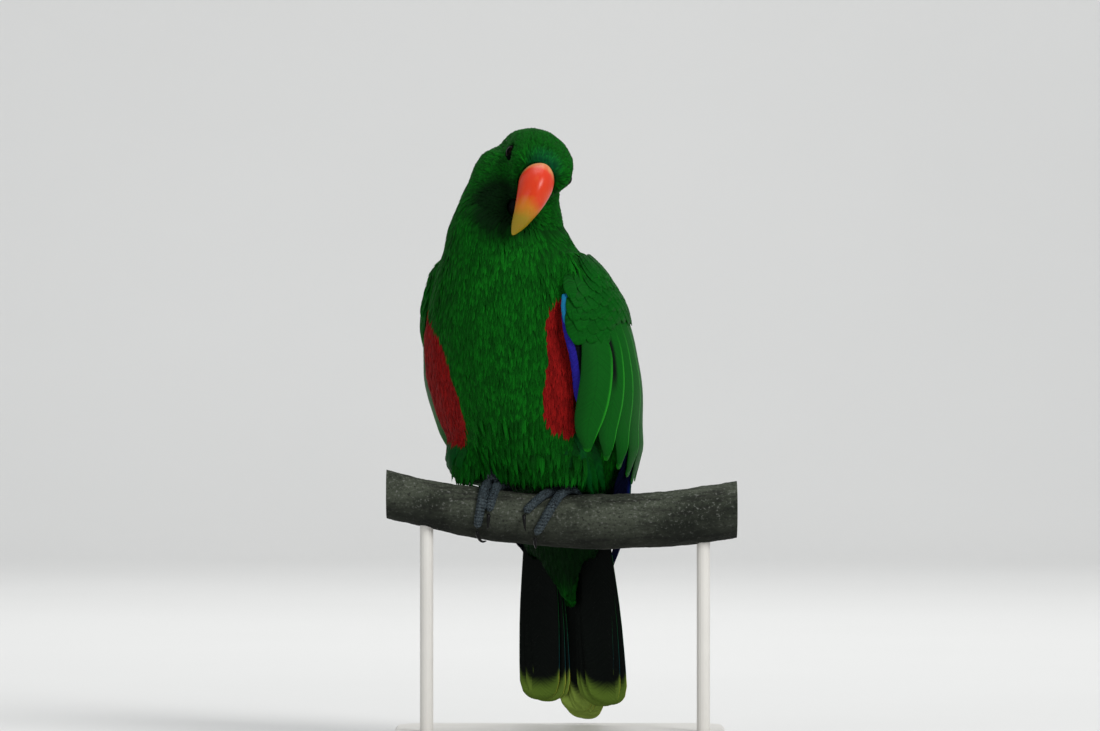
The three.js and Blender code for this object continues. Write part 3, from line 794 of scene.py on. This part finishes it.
def wing_paths(side, share, z, out):
    """Paths on a wing for arrays of share, height and lift, one row for each feather, with the vectors
    across each feather, towards the wing's trailing edge, and away from the body"""
    shown = share.shape
    flat = [np.broadcast_to(part, shown).ravel() for part in (share, z, out)]
    middle, ahead, beyond = (on_wing(side, flat[0] + step, *flat[1:]) for step in (0, -0.01, 0.01))
    turn = np.array(BIRD.to_3x3()).T
    path = (MM * middle @ turn + np.array(BIRD.translation)).reshape(*shown, 3)
    across = unit((beyond - ahead) @ turn).reshape(*shown, 3)
    tangent = unit(np.gradient(path, axis=1))
    up = unit(np.cross(tangent, across)) * HELD[side][0]
    return path, unit(np.cross(up, tangent)) * HELD[side][0], up


def places_on_skin(points):
    """The places of points in the skin's UV map: the middle of the nearest face's corners there"""
    flat = np.empty(len(skin.data.loops) * 2)
    skin.data.uv_layers["OFBake"].data.foreach_get("uv", flat)
    chart = flat.reshape(-1, 2)
    faces = [skin.data.polygons[surface.find_nearest(Vector(point))[2]] for point in points]
    return np.array([chart[list(face.loop_indices)].mean(axis=0) for face in faces])


def around_body(side, turn, z, out):
    """Paths over the skin at arrays of angle round the body, height and lift, with vectors away from it"""
    path = np.empty((*turn.shape, 3))
    up = np.empty_like(path)
    for place in np.ndindex(turn.shape):
        angle = math.radians(turn[place]) * HELD[side][0]
        way = BIRD.to_3x3() @ Vector((math.sin(angle), -math.cos(angle), 0))
        axis = BIRD @ Vector((0, np.interp(z[place] * MM, *AXIS.T), z[place] * MM))
        met, normal, _, _ = surface.ray_cast(axis + way * 0.2, -way)
        path[place] = met + normal * out[0, place[1]] * MM
        up[place] = normal
    return path, up


def thickened(piece, thickness, back_material=0):
    solid = piece.modifiers.new("thickness", "SOLIDIFY")
    solid.thickness = thickness
    solid.offset = -1
    solid.material_offset = back_material
    return settled(piece)


def own_cells(many, rows):
    """The middle of each feather's own cell in a UV map of that many rows of cells, and a cell's size"""
    columns = math.ceil(many / rows)
    index = np.arange(many)
    cell = np.array([1 / columns, 1 / rows])
    return (np.stack([index % columns, index // columns], axis=1) + 0.5) * cell, cell * 0.9


def barbed(start, fineness):
    """Fine barbs that leave a feather's shaft at a slant"""
    across = value_of(start, "across")
    slant = value_of(start, "along") * fineness - across.math("ABSOLUTE", across) * fineness * 0.12
    clumps = start.node(
        "ShaderNodeTexNoise",
        {"noise_dimensions": "1D"},
        {"W": slant * 0.22 + value_of(start, "tone") * 40, "Scale": 1.0, "Detail": 3.0},
    )
    return slant.math("SINE", slant), clumps


def flight_feather(start):
    barbs, clumps = barbed(start, 260)
    across = value_of(start, "across")
    along = value_of(start, "along")
    inner = across.ease(0.1, -0.9)
    edge = across.ease(0.80, 0.96)
    margin = edge.math("MAXIMUM", edge, along.ease(0.962, 0.995) * 0.8) * along.ease(0.1, 0.45)
    shaft = across.math("ABSOLUTE", across).ease(0.08, 0.0)
    # Painted shadow: a dark patch on the second flight feather, where the front one laps over it
    gap = value_of(start, "gap") * along.ease(0.58, 0.40) * across.ease(0.42, 0.12)
    color = mixed(clumps.ease(0.2, 0.8), (0.0012, 0.062, 0.0036, 1), (0.0018, 0.078, 0.0045, 1))
    color = mixed(inner * 0.55, color, (0.0008, 0.028, 0.0025, 1))
    color = mixed(margin * 0.8, color, (0.0150, 0.260, 0.0120, 1))
    color = mixed(shaft * 0.2, color, (0.0006, 0.025, 0.0020, 1))
    color = mixed(gap, color, (0.001, 0.003, 0.002, 1))
    return {
        "Base Color": color,
        "Roughness": clumps.ease(0.2, 0.8, 0.4, 0.55),
        "Normal": bumped(barbs * 0.1 + clumps, 0.00015, 0.5),
    }


def covert(start):
    barbs, clumps = barbed(start, 60)
    along = value_of(start, "along")
    across = value_of(start, "across")
    tone = value_of(start, "tone")
    rim = along.ease(0.82, 0.99)
    color = mixed(along.ease(0.1, 0.9), (0.0006, 0.030, 0.0020, 1), (0.0010, 0.055, 0.0032, 1))
    color = mixed(clumps.ease(0.4, 0.7) * 0.5 + tone * 0.3, color, (0.0020, 0.085, 0.0050, 1))
    color = mixed(rim * 0.2, color, (0.0050, 0.140, 0.0080, 1))
    shaft = across.math("ABSOLUTE", across).ease(0.12, 0.0) * 0.2
    color = mixed(shaft, color, (0.001, 0.02, 0.003, 1))
    color = mixed(value_of(start, "blue"), color, (0.004, 0.070, 0.120, 1))
    return {
        "Base Color": color,
        "Roughness": clumps.ease(0.2, 0.8, 0.45, 0.6),
        "Normal": bumped(barbs * 0.1 + clumps, 0.00025, 0.6),
    }


def wing_tip(start):
    barbs, clumps = barbed(start, 260)
    across = value_of(start, "across")
    color = mixed(clumps.ease(0.3, 0.7), (0.0015, 0.002, 0.006, 1), (0.003, 0.004, 0.016, 1))
    color = mixed(across.ease(0.2, 0.75) * 0.8, color, (0.004, 0.008, 0.075, 1))
    color = mixed(across.ease(0.7, 0.95) * 0.7, color, (0.003, 0.060, 0.012, 1))
    return {
        "Base Color": color,
        "Roughness": clumps.ease(0.2, 0.8, 0.4, 0.55),
        "Normal": bumped(barbs * 0.12 + clumps, 0.0003, 0.7),
    }


def wing_edge(start):
    barbs, clumps = barbed(start, 90)
    high = value_of(start, "high")
    across = value_of(start, "across")
    color = mixed(clumps, (0.008, 0.006, 0.110, 1), (0.020, 0.014, 0.260, 1))
    color = mixed(high.ease(0.95, 1.0), color, (0.008, 0.130, 0.260, 1))
    # Painted shadow: the half of each strip feather next to the flight feathers is near black, a shadow line
    # along them
    color = mixed(across.ease(0.0, 0.2), color, (0.001, 0.002, 0.003, 1))
    return {"Base Color": color, "Roughness": clumps.ease(0, 1, 0.45, 0.6), "Normal": bumped(clumps, 0.0003)}


flight_green = finish_of("flight_green", flight_feather, Specular_IOR_Level=0.06)
covert_green = finish_of("covert_green", covert, Specular_IOR_Level=0.04)
wing_tip_blue = finish_of("wing_tip_blue", wing_tip, Specular_IOR_Level=0.0)
wing_edge_blue = finish_of("wing_edge_blue", wing_edge, Specular_IOR_Level=0.04)

SECONDARIES = {
    "tip": (180.5, 175.0, 169.5, 164.5, 160.0, 161.5, 165.5, 169.0, 173.0),
    "share": (0.020, 0.133, 0.237, 0.352, 0.465, 0.58, 0.69, 0.80, 0.90),
    # which flight feather carries a painted shadow beside the front one
    "gap": (0, 1, 0, 0, 0, 0, 0, 0, 0),
    "drift": (0.105, 0.098, 0.076, 0.055, 0.034, 0.023, 0.011, 0.0, -0.023),
    "long": (74, 88, 101, 107, 111, 109, 105, 101, 97),
    "wide": (21, 17.5, 16, 16, 16.5, 17, 17, 17, 17),
    "shape": (0.5, 0.85, 1.0, 1.0, 1.0, 0.96, 0.86, 0.62, 0.2),
}
PRIMARIES = {
    "tip": (121, 113, 107, 112, 119),
    "share": (0.37, 0.47, 0.57, 0.67, 0.77),
    "shape": (0.5, 0.8, 1.0, 1.0, 0.95, 0.8, 0.45),
    "wide": 20,
    "top": 214,
}
# Height of the tips, number, length and width of the feathers in a row of coverts, and their lift
COVERT_ROWS = (
    (244, 12, 26, 13.5, 0.75),
    (251, 14, 21, 11.5, 0.85),
    (258, 16, 17, 10.0, 0.95),
    (264.5, 17, 15, 8.8, 1.0),
    (270.5, 18, 13.5, 7.8, 0.9),
)
COVERTS = {"shape": (0.55, 0.85, 1.0, 1.0, 0.92, 0.75), "step_up": 13, "highest": 297, "blue": 0.0}
STRIP = {
    "many": 9,
    "top": (274, 228),
    "long": 24,
    "wide": 8.2,
    "arch": 0.4,
    "shape": (0.6, 1.0, 1.0, 0.8, 0.5),
}
# Angle and height of the root and of the tip of each long soft feather that hangs over the thigh
PLUMES = (
    (38, 186, 42, 163), (43, 189, 50, 160), (47, 190, 57, 158), (51, 191, 64, 157), (55, 190, 71, 156),
    (60, 190, 77, 157), (47, 182, 60, 152), (41, 181, 50, 153), (54, 183, 68, 151),
)
PLUME = {"shape": (0.5, 0.9, 1.0, 0.9, 0.65, 0.25), "wide": 6.0, "arch": 0.5}
# The fine feathers that hang from the belly in front of the legs: how many on each side, the span of their
# roots in angle and height, the height where they end and their greatest length
SKIRT = {
    "many": 420,
    "turn": {"right": (-4, 47), "left": (-2, 58)},
    "top": (170, 206),
    "end": 160,
    "long": 17,
}
ROWS = {"flight": 26, "small": 7}
THICK = {"flight": 0.35 * MM, "small": 0.2 * MM}


def steps(rows):
    return np.linspace(0, 1, rows + 1)[None, :]


def columns_of(table):
    """The columns of a table, each upright, so that they spread over the steps along the feathers"""
    return (np.array(column, float)[:, None] for column in table)


def flight_feathers(side):
    step = steps(ROWS["flight"])
    tip, at, drift, long = columns_of(SECONDARIES[key] for key in ("tip", "share", "drift", "long"))
    wide = np.array(SECONDARIES["wide"])
    many = len(wide)
    under_next = 0.28 * np.arange(many)[:, None] * np.minimum(1, 1.6 - step)
    lift = 0.9 - under_next - 1.6 * (1 - step) ** 5
    path, across, up = wing_paths(side, at + drift * (1 - step), tip + long * (1 - step), lift)
    across = unit(across + up * 0.05)
    form = blade(12, ROWS["flight"], SECONDARIES["shape"], 0.025, lean=0.12)
    values = {"tone": chance.uniform(0, 1, many), "gap": np.array(SECONDARIES["gap"], float)}
    arch = wide**2 / 440 * MM
    name = f"secondaries_{side}"
    piece = vanes(name, form, path, across, up, wide * MM, arch, values, *own_cells(many, 3))
    piece.data.materials.append(flight_green)
    thickened(piece, THICK["flight"])
    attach(piece, "root")
    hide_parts(f"wing_{side}")


def wing_tips(side):
    step = steps(ROWS["flight"])
    tip, at = columns_of(PRIMARIES[key] for key in ("tip", "share"))
    many = len(tip)
    lift = -2.6 - 0.45 * np.arange(many)[:, None] * np.ones_like(step)
    z = tip + (PRIMARIES["top"] - tip) * (1 - step)
    path, across, up = wing_paths(side, at + 0.06 * (1 - step), z, lift)
    wide = np.full(many, PRIMARIES["wide"])
    form = blade(10, ROWS["flight"], PRIMARIES["shape"], 0.05)
    values = {"tone": chance.uniform(0, 1, many)}
    arch = wide**2 / 300 * MM
    name = f"primaries_{side}"
    piece = vanes(name, form, path, across, up, wide * MM, arch, values, *own_cells(many, 2))
    piece.data.materials.append(wing_tip_blue)
    thickened(piece, THICK["flight"])
    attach(piece, "root")


def coverts(side):
    rows = []
    for index, (low, many, long, wide, lift) in enumerate(COVERT_ROWS):
        at = (np.arange(many) + 0.25 + 0.5 * (index % 2)) / many
        low = low + COVERTS["step_up"] * ramp(at, 0.16, 0.34) + chance.normal(0, 0.7, many)
        long = long * chance.uniform(0.94, 1.08, many)
        rows.append((low, at, long, np.full(many, wide), np.full(many, lift)))
    low, at, long, wide, lift = (np.concatenate(part) for part in zip(*rows))
    step = steps(ROWS["small"])
    z = np.minimum(low[:, None] + long[:, None] * (1 - step), COVERTS["highest"])
    height = lift[:, None] - 2.6 * (1 - step) ** 1.6
    path, across, up = wing_paths(side, at[:, None] + 0.012 * (1 - step), z, height)
    form = blade(8, ROWS["small"], COVERTS["shape"], 0.22)
    charts = np.stack([0.02 + 0.96 * at, (low - 220) / 85], axis=1)
    foremost = (at < 0.05) * (low > 262)
    blue = COVERTS["blue"] * foremost * chance.uniform(0.3, 1, len(at))
    values = {"tone": chance.uniform(0, 1, len(at)), "blue": blue}
    arch = wide**2 / 420 * MM
    name = f"wing_coverts_{side}"
    piece = vanes(name, form, path, across, up, wide * MM, arch, values, charts, TUFT)
    piece.data.materials.append(covert_green)
    thickened(piece, THICK["small"])
    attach(piece, "root")


def violet_strip(side):
    many = STRIP["many"]
    step = steps(ROWS["small"])
    z = np.linspace(*STRIP["top"], many)[:, None] - STRIP["long"] * step
    share = np.interp(z, (205, 235, 268), (0.014, -0.006, -0.014))
    path, across, up = wing_paths(side, share, z, -1.3 + 0.5 * step + np.zeros_like(z))
    across = unit(across + up * 0.35)
    form = blade(6, ROWS["small"], STRIP["shape"], 0.15)
    values = {"tone": chance.uniform(0, 1, many), "high": np.linspace(1, 0, many)}
    wide = np.full(many, STRIP["wide"]) * MM
    arch = np.full(many, STRIP["arch"]) * MM
    name = f"wing_edge_{side}"
    piece = vanes(name, form, path, across, up, wide, arch, values, *own_cells(many, 3))
    piece.data.materials.append(wing_edge_blue)
    thickened(piece, THICK["small"])
    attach(piece, "root")


def flank_plumes(side):
    step = steps(ROWS["small"])
    many = len(PLUMES)
    turn, start, turn_end, end = columns_of(zip(*PLUMES))
    z = start + (end - start) * step
    path, up = around_body(side, turn + (turn_end - turn) * step, z, 1.6 + 3.2 * step)
    across = unit(np.cross(np.gradient(path, axis=1), up))
    form = blade(6, ROWS["small"], PLUME["shape"], 0.05)
    values = {"tone": chance.uniform(0, 1, many), "blue": chance.uniform(0, 0.05, many)}
    wide = np.full(many, PLUME["wide"]) * MM
    arch = np.full(many, PLUME["arch"]) * MM
    name = f"flank_plumes_{side}"
    piece = vanes(name, form, path, across, up, wide, arch, values, *own_cells(many, 3))
    piece.data.materials.append(covert_green)
    thickened(piece, THICK["small"])
    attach(piece, "root")


def skirt(side):
    many = SKIRT["many"]
    step = steps(ROWS["small"])
    turn = chance.uniform(*SKIRT["turn"][side], (many, 1))
    top = chance.uniform(*SKIRT["top"], (many, 1))
    long = np.minimum(top - SKIRT["end"], SKIRT["long"]) + chance.normal(0, 1.6, (many, 1))
    root, up = around_body(side, turn, top, np.full((1, 1), 0.2))
    kept = (markings(root[:, 0])["red"] < 0.3) | (top[:, 0] < 181)
    root, up, long, top = root[kept], up[kept], long[kept], top[kept]
    many = len(root)
    out = unit(up * np.array([1, 1, 0.0]))
    cling = (0.4 + 0.6 * ramp(top, 172, 186))[:, :, None]
    down = np.array([0, 0, -1.0]) + up * up[:, :, 2:] * cling + chance.normal(0, 0.06, (many, 1, 3))
    down = unit(down - out * 0.02)
    bow = out * (1.5 * MM * np.sin(step * 2.2))[:, :, None] + up * (step * MM)[:, :, None]
    path = root + down * (long * step * MM)[:, :, None] + bow
    up = np.broadcast_to(up, path.shape)
    across = unit(np.cross(np.gradient(path, axis=1), up))
    form = blade(3, ROWS["small"], SOFT, 0.16, 0.12)
    values = {"tone": chance.uniform(0, 1, many), **markings(root[:, 0])}
    values["red"] = np.zeros(many)
    wide = chance.uniform(1.9, 2.6, many) * MM
    charts = places_on_skin(root[:, 0])
    piece = vanes(f"skirt_{side}", form, path, across, up, wide, wide * 0.08, values, charts, TUFT)
    piece.data.materials.append(plumage)
    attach(piece, "root")


for side in HELD:
    flight_feathers(side)
    wing_tips(side)
    coverts(side)
    violet_strip(side)
    flank_plumes(side)
    skirt(side)


# Tail: twelve broad feathers that hang close behind the perch in two bunches, with the longest middle pair
# behind them. They are black below and green above, and each ends in a yellow-green band.
TAIL = {
    "right": {"root": (-15, 50, 132), "tip": (-20, 66.3, 25.6)},
    "left": {"root": (19.5, 51, 132), "tip": (19.6, 67.3, 24)},
    "middle": {"root": (0, 53, 132), "tip": (5, 70, 15.2)},
}
RECTRICES = (
    # group, shift across, shift back, how much shorter, width
    ("right", -3.0, -2.2, 1.0, 27), ("left", 3.2, -2.2, 0.5, 27.6), ("right", 1.5, -1.3, 0.0, 27),
    ("left", -1.5, -1.3, -0.5, 27), ("right", 5.5, -0.4, 1.5, 25), ("left", -5.5, -0.4, 1.5, 25),
    ("middle", -4.5, -1.4, 4.0, 24), ("middle", 4.5, -1.2, 4.5, 24), ("middle", -3.0, -0.4, 2.5, 24),
    ("middle", 3.0, -0.2, 2.0, 24), ("middle", -1.6, 0.6, 0.5, 25), ("middle", 1.2, 1.1, 0.0, 25),
)


def tail_below(start):
    barbs, clumps = barbed(start, 300)
    band = value_of(start, "along") + (clumps - 0.5) * 0.04
    tip = band.ease(0.86, 0.955)
    pale = value_of(start, "pale")
    color = mixed(clumps, (0.0015, 0.0022, 0.0018, 1), (0.0035, 0.0050, 0.0042, 1))
    yellow = mixed(pale, (0.060, 0.110, 0.012, 1), (0.200, 0.280, 0.050, 1))
    return {
        "Base Color": mixed(tip, color, yellow),
        "Roughness": clumps.ease(0.2, 0.8, 0.42, 0.6),
        "Normal": bumped(barbs * 0.12 + clumps, 0.0003, 0.7),
    }


def tail_above(start):
    barbs, clumps = barbed(start, 300)
    along = value_of(start, "along")
    color = mixed(clumps, (0.003, 0.060, 0.012, 1), (0.006, 0.110, 0.020, 1))
    color = mixed(along.ease(0.45, 0.9) * 0.6, color, (0.004, 0.030, 0.100, 1))
    color = mixed(along.ease(0.88, 0.96), color, (0.400, 0.380, 0.040, 1))
    return {
        "Base Color": color,
        "Roughness": clumps.ease(0.2, 0.8, 0.38, 0.55),
        "Normal": bumped(barbs * 0.12 + clumps, 0.0003, 0.7),
    }


rows = 30
step = np.linspace(0, 1, rows + 1)
path = np.empty((len(RECTRICES), rows + 1, 3))
for index, (group, shift, back, short, _) in enumerate(RECTRICES):
    root, tip = (np.array(TAIL[group][key], float) for key in ("root", "tip"))
    tip = tip + (0, 0, short)
    line = root + (tip - root) * step[:, None]
    line[:, 0] += shift * (0.25 + 0.75 * step)
    line[:, 1] += back * 0.75 - 2.0
    path[index] = line
turn = np.array(BIRD.to_3x3()).T
path = MM * path @ turn + np.array(BIRD.translation)
front = np.broadcast_to(np.array((0, -1, -0.15)) @ turn, path.shape)
side = np.broadcast_to(np.array((1, 0, 0)) @ turn, path.shape)
wide = np.array([row[4] for row in RECTRICES])
form = blade(14, rows, (0.7, 0.8, 0.88, 0.95, 0.99, 1.0, 1.0, 0.98), 0.115)
many = len(RECTRICES)
pale = np.array([0.15, 0.2, 0.3, 0.3, 0.4, 0.4, 0.8, 0.8, 0.9, 0.9, 1, 1])
values = {"tone": chance.uniform(0, 1, many), "pale": pale}
arch = np.full(many, -2.0 * MM)
piece = vanes("tail_feathers", form, path, side, front, wide * MM, arch, values, *own_cells(many, 3))
piece.data.materials.append(finish_of("tail_above", tail_above, Specular_IOR_Level=0.08))
piece.data.materials.append(finish_of("tail_below", tail_below, Specular_IOR_Level=0.03))
thickened(piece, THICK["flight"], 1)
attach(piece, "root")
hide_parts("tail")


# Bill: a deep hooked upper half of glossy orange horn that turns yellow towards its tip, with a pale rim
# where it leaves the feathers, and a short black lower half under it.
CULMEN = ((-20, 4), (-29, 13), (-41, 8), (-47.5, -4), (-47, -18), (-41, -32))
TOMIUM = ((-20, 4), (-23, -9), (-29, -13), (-34.5, -17), (-38, -22), (-41, -32))
CHIN_TOP = ((-12, -10), (-20, -11), (-27, -14), (-31, -18.5))
CHIN_LOW = ((-12, -10), (-15, -20.5), (-23, -25), (-31, -18.5))


def along_curve(points, share):
    """A point of the smooth curve through points, at a share from 0 to 1 of its way"""
    points = [Vector(point) for point in points]
    place = min(max(share, 0), 0.9999) * (len(points) - 1)
    low = int(place)
    t = place - low
    before = points[low - 1] if low else 2 * points[0] - points[1]
    after = points[low + 2] if low + 2 < len(points) else 2 * points[-1] - points[-2]
    first, second = points[low], points[low + 1]
    bend = (2 * before - 5 * first + 4 * second - after) * t * t
    twist = (3 * first - before - 3 * second + after) * t**3
    return (2 * first + (second - before) * t + bend + twist) / 2


def dome(share, length):
    return math.sqrt(1 - (1 - min(max(share / length, 0), 1)) ** 2)


def horn(name, upper, lower, half_width, sizes, edge):
    """A closed horn from a ball: its rings run between an upper and a lower profile of the head"""
    made = bmesh.new()
    bmesh.ops.create_uvsphere(made, u_segments=sizes[0], v_segments=sizes[1], radius=1)
    far = made.verts.layers.float.new("along")
    for vert in made.verts:
        t = math.acos(max(-1, min(1, vert.co.z))) / math.pi
        turn = math.atan2(vert.co.x, vert.co.y)
        share = t - 0.6 * math.sin(2 * math.pi * t) / (2 * math.pi)
        top = along_curve(upper, share)
        low = along_curve(lower, share)
        middle = (top + low) / 2 + (top - low) / 2 * math.cos(turn)
        narrow = 1 - edge * max(-math.cos(turn), 0) ** 2 - 0.8 * edge * max(math.cos(turn), 0) ** 3
        vert[far] = share
        vert.co = HEAD @ (MM * Vector((half_width(share) * narrow * math.sin(turn), middle.x, middle.y)))
    bmesh.ops.recalc_face_normals(made, faces=made.faces)
    return smoothed(into_scene(name, mesh_from(name, made)))


def orange_horn(start):
    along = value_of(start, "along")
    fibres = grain(start, 260, 4, 0.6, (1, 1, 0.25))
    spots = grain(start, 90, 3)
    place = along + (spots - 0.5) * 0.16
    color = place.node(
        "ShaderNodeValToRGB",
        {
            "stops": (
                (0.0, (0.58, 0.30, 0.14, 1)),
                (0.25, (0.58, 0.24, 0.090, 1)),
                (0.315, (0.56, 0.034, 0.012, 1)),
                (0.60, (0.53, 0.034, 0.006, 1)),
                (0.71, (0.46, 0.140, 0.005, 1)),
                (0.82, (0.27, 0.180, 0.006, 1)),
            )
        },
        {"Fac": place},
        "Color",
    )
    color = mixed(fibres.ease(0.5, 0.72) * 0.16, color, (0.66, 0.14, 0.035, 1))
    return {
        "Base Color": color,
        "Roughness": fibres.ease(0.2, 0.8, 0.26, 0.36),
        "Normal": bumped(fibres, 0.00018, 0.4),
    }


def black_horn(start):
    fibres = grain(start, 300, 4)
    return {
        "Base Color": mixed(fibres, (0.002, 0.002, 0.002, 1), (0.006, 0.006, 0.006, 1)),
        "Roughness": fibres.ease(0.2, 0.8, 0.3, 0.48),
        "Normal": bumped(fibres, 0.0002, 0.5),
    }


def upper_width(share):
    return 11.4 * dome(share, 0.4) * (1 - 0.8 * share**2) * dome(1 - share, 0.15)


def lower_width(share):
    return 7.0 * dome(share, 0.3) * dome(1 - share, 0.45)


black = finish_of("black_horn", black_horn, Specular_IOR_Level=0.02)
bill = horn("bill", CULMEN, TOMIUM, upper_width, (56, 48), 0.18)
bill.data.materials.append(finish_of("orange_horn", orange_horn, Specular_IOR_Level=0.22))
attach(bill, "root")
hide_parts("bill_upper")
jaw = horn("lower_bill", CHIN_TOP, CHIN_LOW, lower_width, (40, 28), 0.0)
jaw.data.materials.append(black)
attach(jaw, "root")
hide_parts("bill_lower")


# Eyes: nearly black glossy balls set in the sides of the head, each with a very dark brown ring round the
# pupil, in thin wrinkled lids that leave a slightly oval opening.
EYE = {
    "at": (16.5, -11.8, 7.4),
    "radius": 5.1,
    "look": (1, -0.22, 0.06),
    "pupil": 24,
    "iris": 44,
    "lid": 0.35,
}


def eye_finish(start):
    away = value_of(start, "away")
    outside = away.ease(EYE["pupil"] - 1, EYE["pupil"] + 1)
    color = mixed(outside, (0.0005, 0.0005, 0.0005, 1), (0.0035, 0.0016, 0.001, 1))
    color = mixed(away.ease(EYE["iris"] - 2, EYE["iris"] + 2), color, (0.002, 0.0015, 0.0015, 1))
    return {"Base Color": color, "Roughness": grain(start, 200).ease(0, 1, 0.03, 0.08)}


def lid_finish(start):
    folds = grain(start, 900, 4)
    return {
        "Base Color": mixed(folds, (0.0008, 0.002, 0.0012, 1), (0.003, 0.006, 0.004, 1)),
        "Normal": bumped(folds, 0.0002),
    }


eye_dark = finish_of("eye_dark", eye_finish, Specular_IOR_Level=0.03)
lid_grey = finish_of("lid_grey", lid_finish, Roughness=0.8, Specular_IOR_Level=0.0)
for side, sign in (("right", -1), ("left", 1)):
    look = Vector(EYE["look"]).normalized()
    look.x *= sign
    middle = Vector(EYE["at"])
    middle.x *= sign
    stance = HEAD @ Matrix.Translation(MM * middle) @ look.to_track_quat("Z", "Y").to_matrix().to_4x4()
    shape = bmesh.new()
    bmesh.ops.create_uvsphere(shape, u_segments=36, v_segments=28, radius=1)
    away = shape.verts.layers.float.new("away")
    for vert in shape.verts:
        vert[away] = math.degrees(math.acos(max(-1, min(1, vert.co.z))))
        vert.co *= EYE["radius"] * MM * (1 + 0.03 * max(0, vert.co.z - 0.8) / 0.2)
    shape.transform(stance)
    ball = smoothed(into_scene(f"eyeball_{side}", mesh_from(f"eyeball_{side}", shape)))
    ball.data.materials.append(eye_dark)
    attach(ball, "root")
    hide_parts(f"eye_{side}")

    shape = bmesh.new()
    bmesh.ops.create_uvsphere(shape, u_segments=48, v_segments=36, radius=1)
    inner = [vert for vert in shape.verts if vert.co.z > math.cos(math.radians(37)) or vert.co.z < 0.1]
    bmesh.ops.delete(shape, geom=inner, context="VERTS")
    for vert in shape.verts:
        rim = max(0, (vert.co.z - 0.62) / 0.2)
        reach = EYE["radius"] * (1.035 + 0.05 * rim)
        vert.co = vert.co * reach * MM
        vert.co.x *= 1.04
    shape.transform(stance)
    lid = into_scene(f"eyelid_{side}", mesh_from(f"eyelid_{side}", shape))
    lid.data.materials.append(lid_grey)
    thickened(lid, EYE["lid"] * MM)
    smoothed(lid)
    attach(lid, "root")


# Feet: two toes to the front and two to the back of the perch, in slate-grey skin of small round scales
# that turn into pale rings near the toe ends, with black curved claws.
FOOT = {"voxel": 0.42, "scale": 1.25, "rise": 0.16, "cells": 640.0}


def foot_skin(start):
    spread = {"Vector": place_of(start), "Scale": FOOT["cells"]}
    cells = start.node("ShaderNodeTexVoronoi", {"feature": "DISTANCE_TO_EDGE"}, spread, "Distance")
    tint = start.node("ShaderNodeTexVoronoi", None, spread, "Color")
    plate = cells.ease(0.02, 0.14)
    ring = value_of(start, "ring")
    blotch = grain(start, 160, 3)
    # The grooves between the scales are near black: dark joints of the skin, deepened with painted shade
    color = mixed(plate, (0.0015, 0.002, 0.0025, 1), (0.034, 0.047, 0.054, 1))
    color = mixed(blotch.ease(0.4, 0.7) * 0.45, color, (0.050, 0.066, 0.074, 1))
    color = mixed(tint.ease(0.0, 1.2) * 0.25, color, (0.014, 0.020, 0.025, 1))
    color = mixed(ring * 0.35, color, (0.080, 0.100, 0.106, 1))
    height = plate + ring
    return {"Base Color": color, "Normal": bumped(height, 0.00022, 0.9)}


def claw_horn(start):
    fibres = grain(start, 500, 3)
    return {
        "Base Color": mixed(fibres, (0.002, 0.002, 0.002, 1), (0.008, 0.008, 0.008, 1)),
        "Roughness": fibres.ease(0, 1, 0.25, 0.45),
    }


slate = finish_of("foot_skin", foot_skin, Roughness=0.6, Specular_IOR_Level=0.1)
claw_black = finish_of("claw_horn", claw_horn, Specular_IOR_Level=0.1)
for side in ("right", "left"):
    foot = joined(f"toes_{side}", [loose_copy(f"foot_{side}")])
    relaxed(foot, 6, FOOT["voxel"] * MM)
    points = points_of(foot.data)
    normals = normals_of(foot.data)
    plate = np.empty(len(points))
    for index, point in enumerate(points / (FOOT["scale"] * MM)):
        near, _ = noise.voronoi(Vector(point))
        plate[index] = near[1] - near[0]
    x, y, z = (points / MM).T
    turn = np.degrees(np.arctan2(-y, z - perch_z(x)))
    ringed = ramp(np.abs(turn), 52, 66)
    ring = ringed * ramp(np.sin(np.radians(turn * 360 / 6.2)), -0.1, 0.6)
    height = ramp(plate, 0.02, 0.3) * (1 - ringed) + ring
    moved = points + normals * (height * FOOT["rise"] * MM)[:, None]
    foot.data.vertices.foreach_set("co", moved.ravel())
    foot.data.update()
    write_values(foot.data, {"ring": ring})
    smoothed(foot).data.materials.append(slate)
    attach(foot, "root")
    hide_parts(f"foot_{side}")
    for toe in ("outer", "inner", "rear_outer", "rear_inner"):
        name = f"claw_{side}_{toe}"
        claw = joined(f"horn_{side}_{toe}", [loose_copy(name)])
        rounded = claw.modifiers.new("round", "SUBSURF")
        rounded.levels = 2
        rounded.render_levels = 2
        settled(claw)
        smoothed(claw).data.materials.append(claw_black)
        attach(claw, "root")
        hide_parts(name)
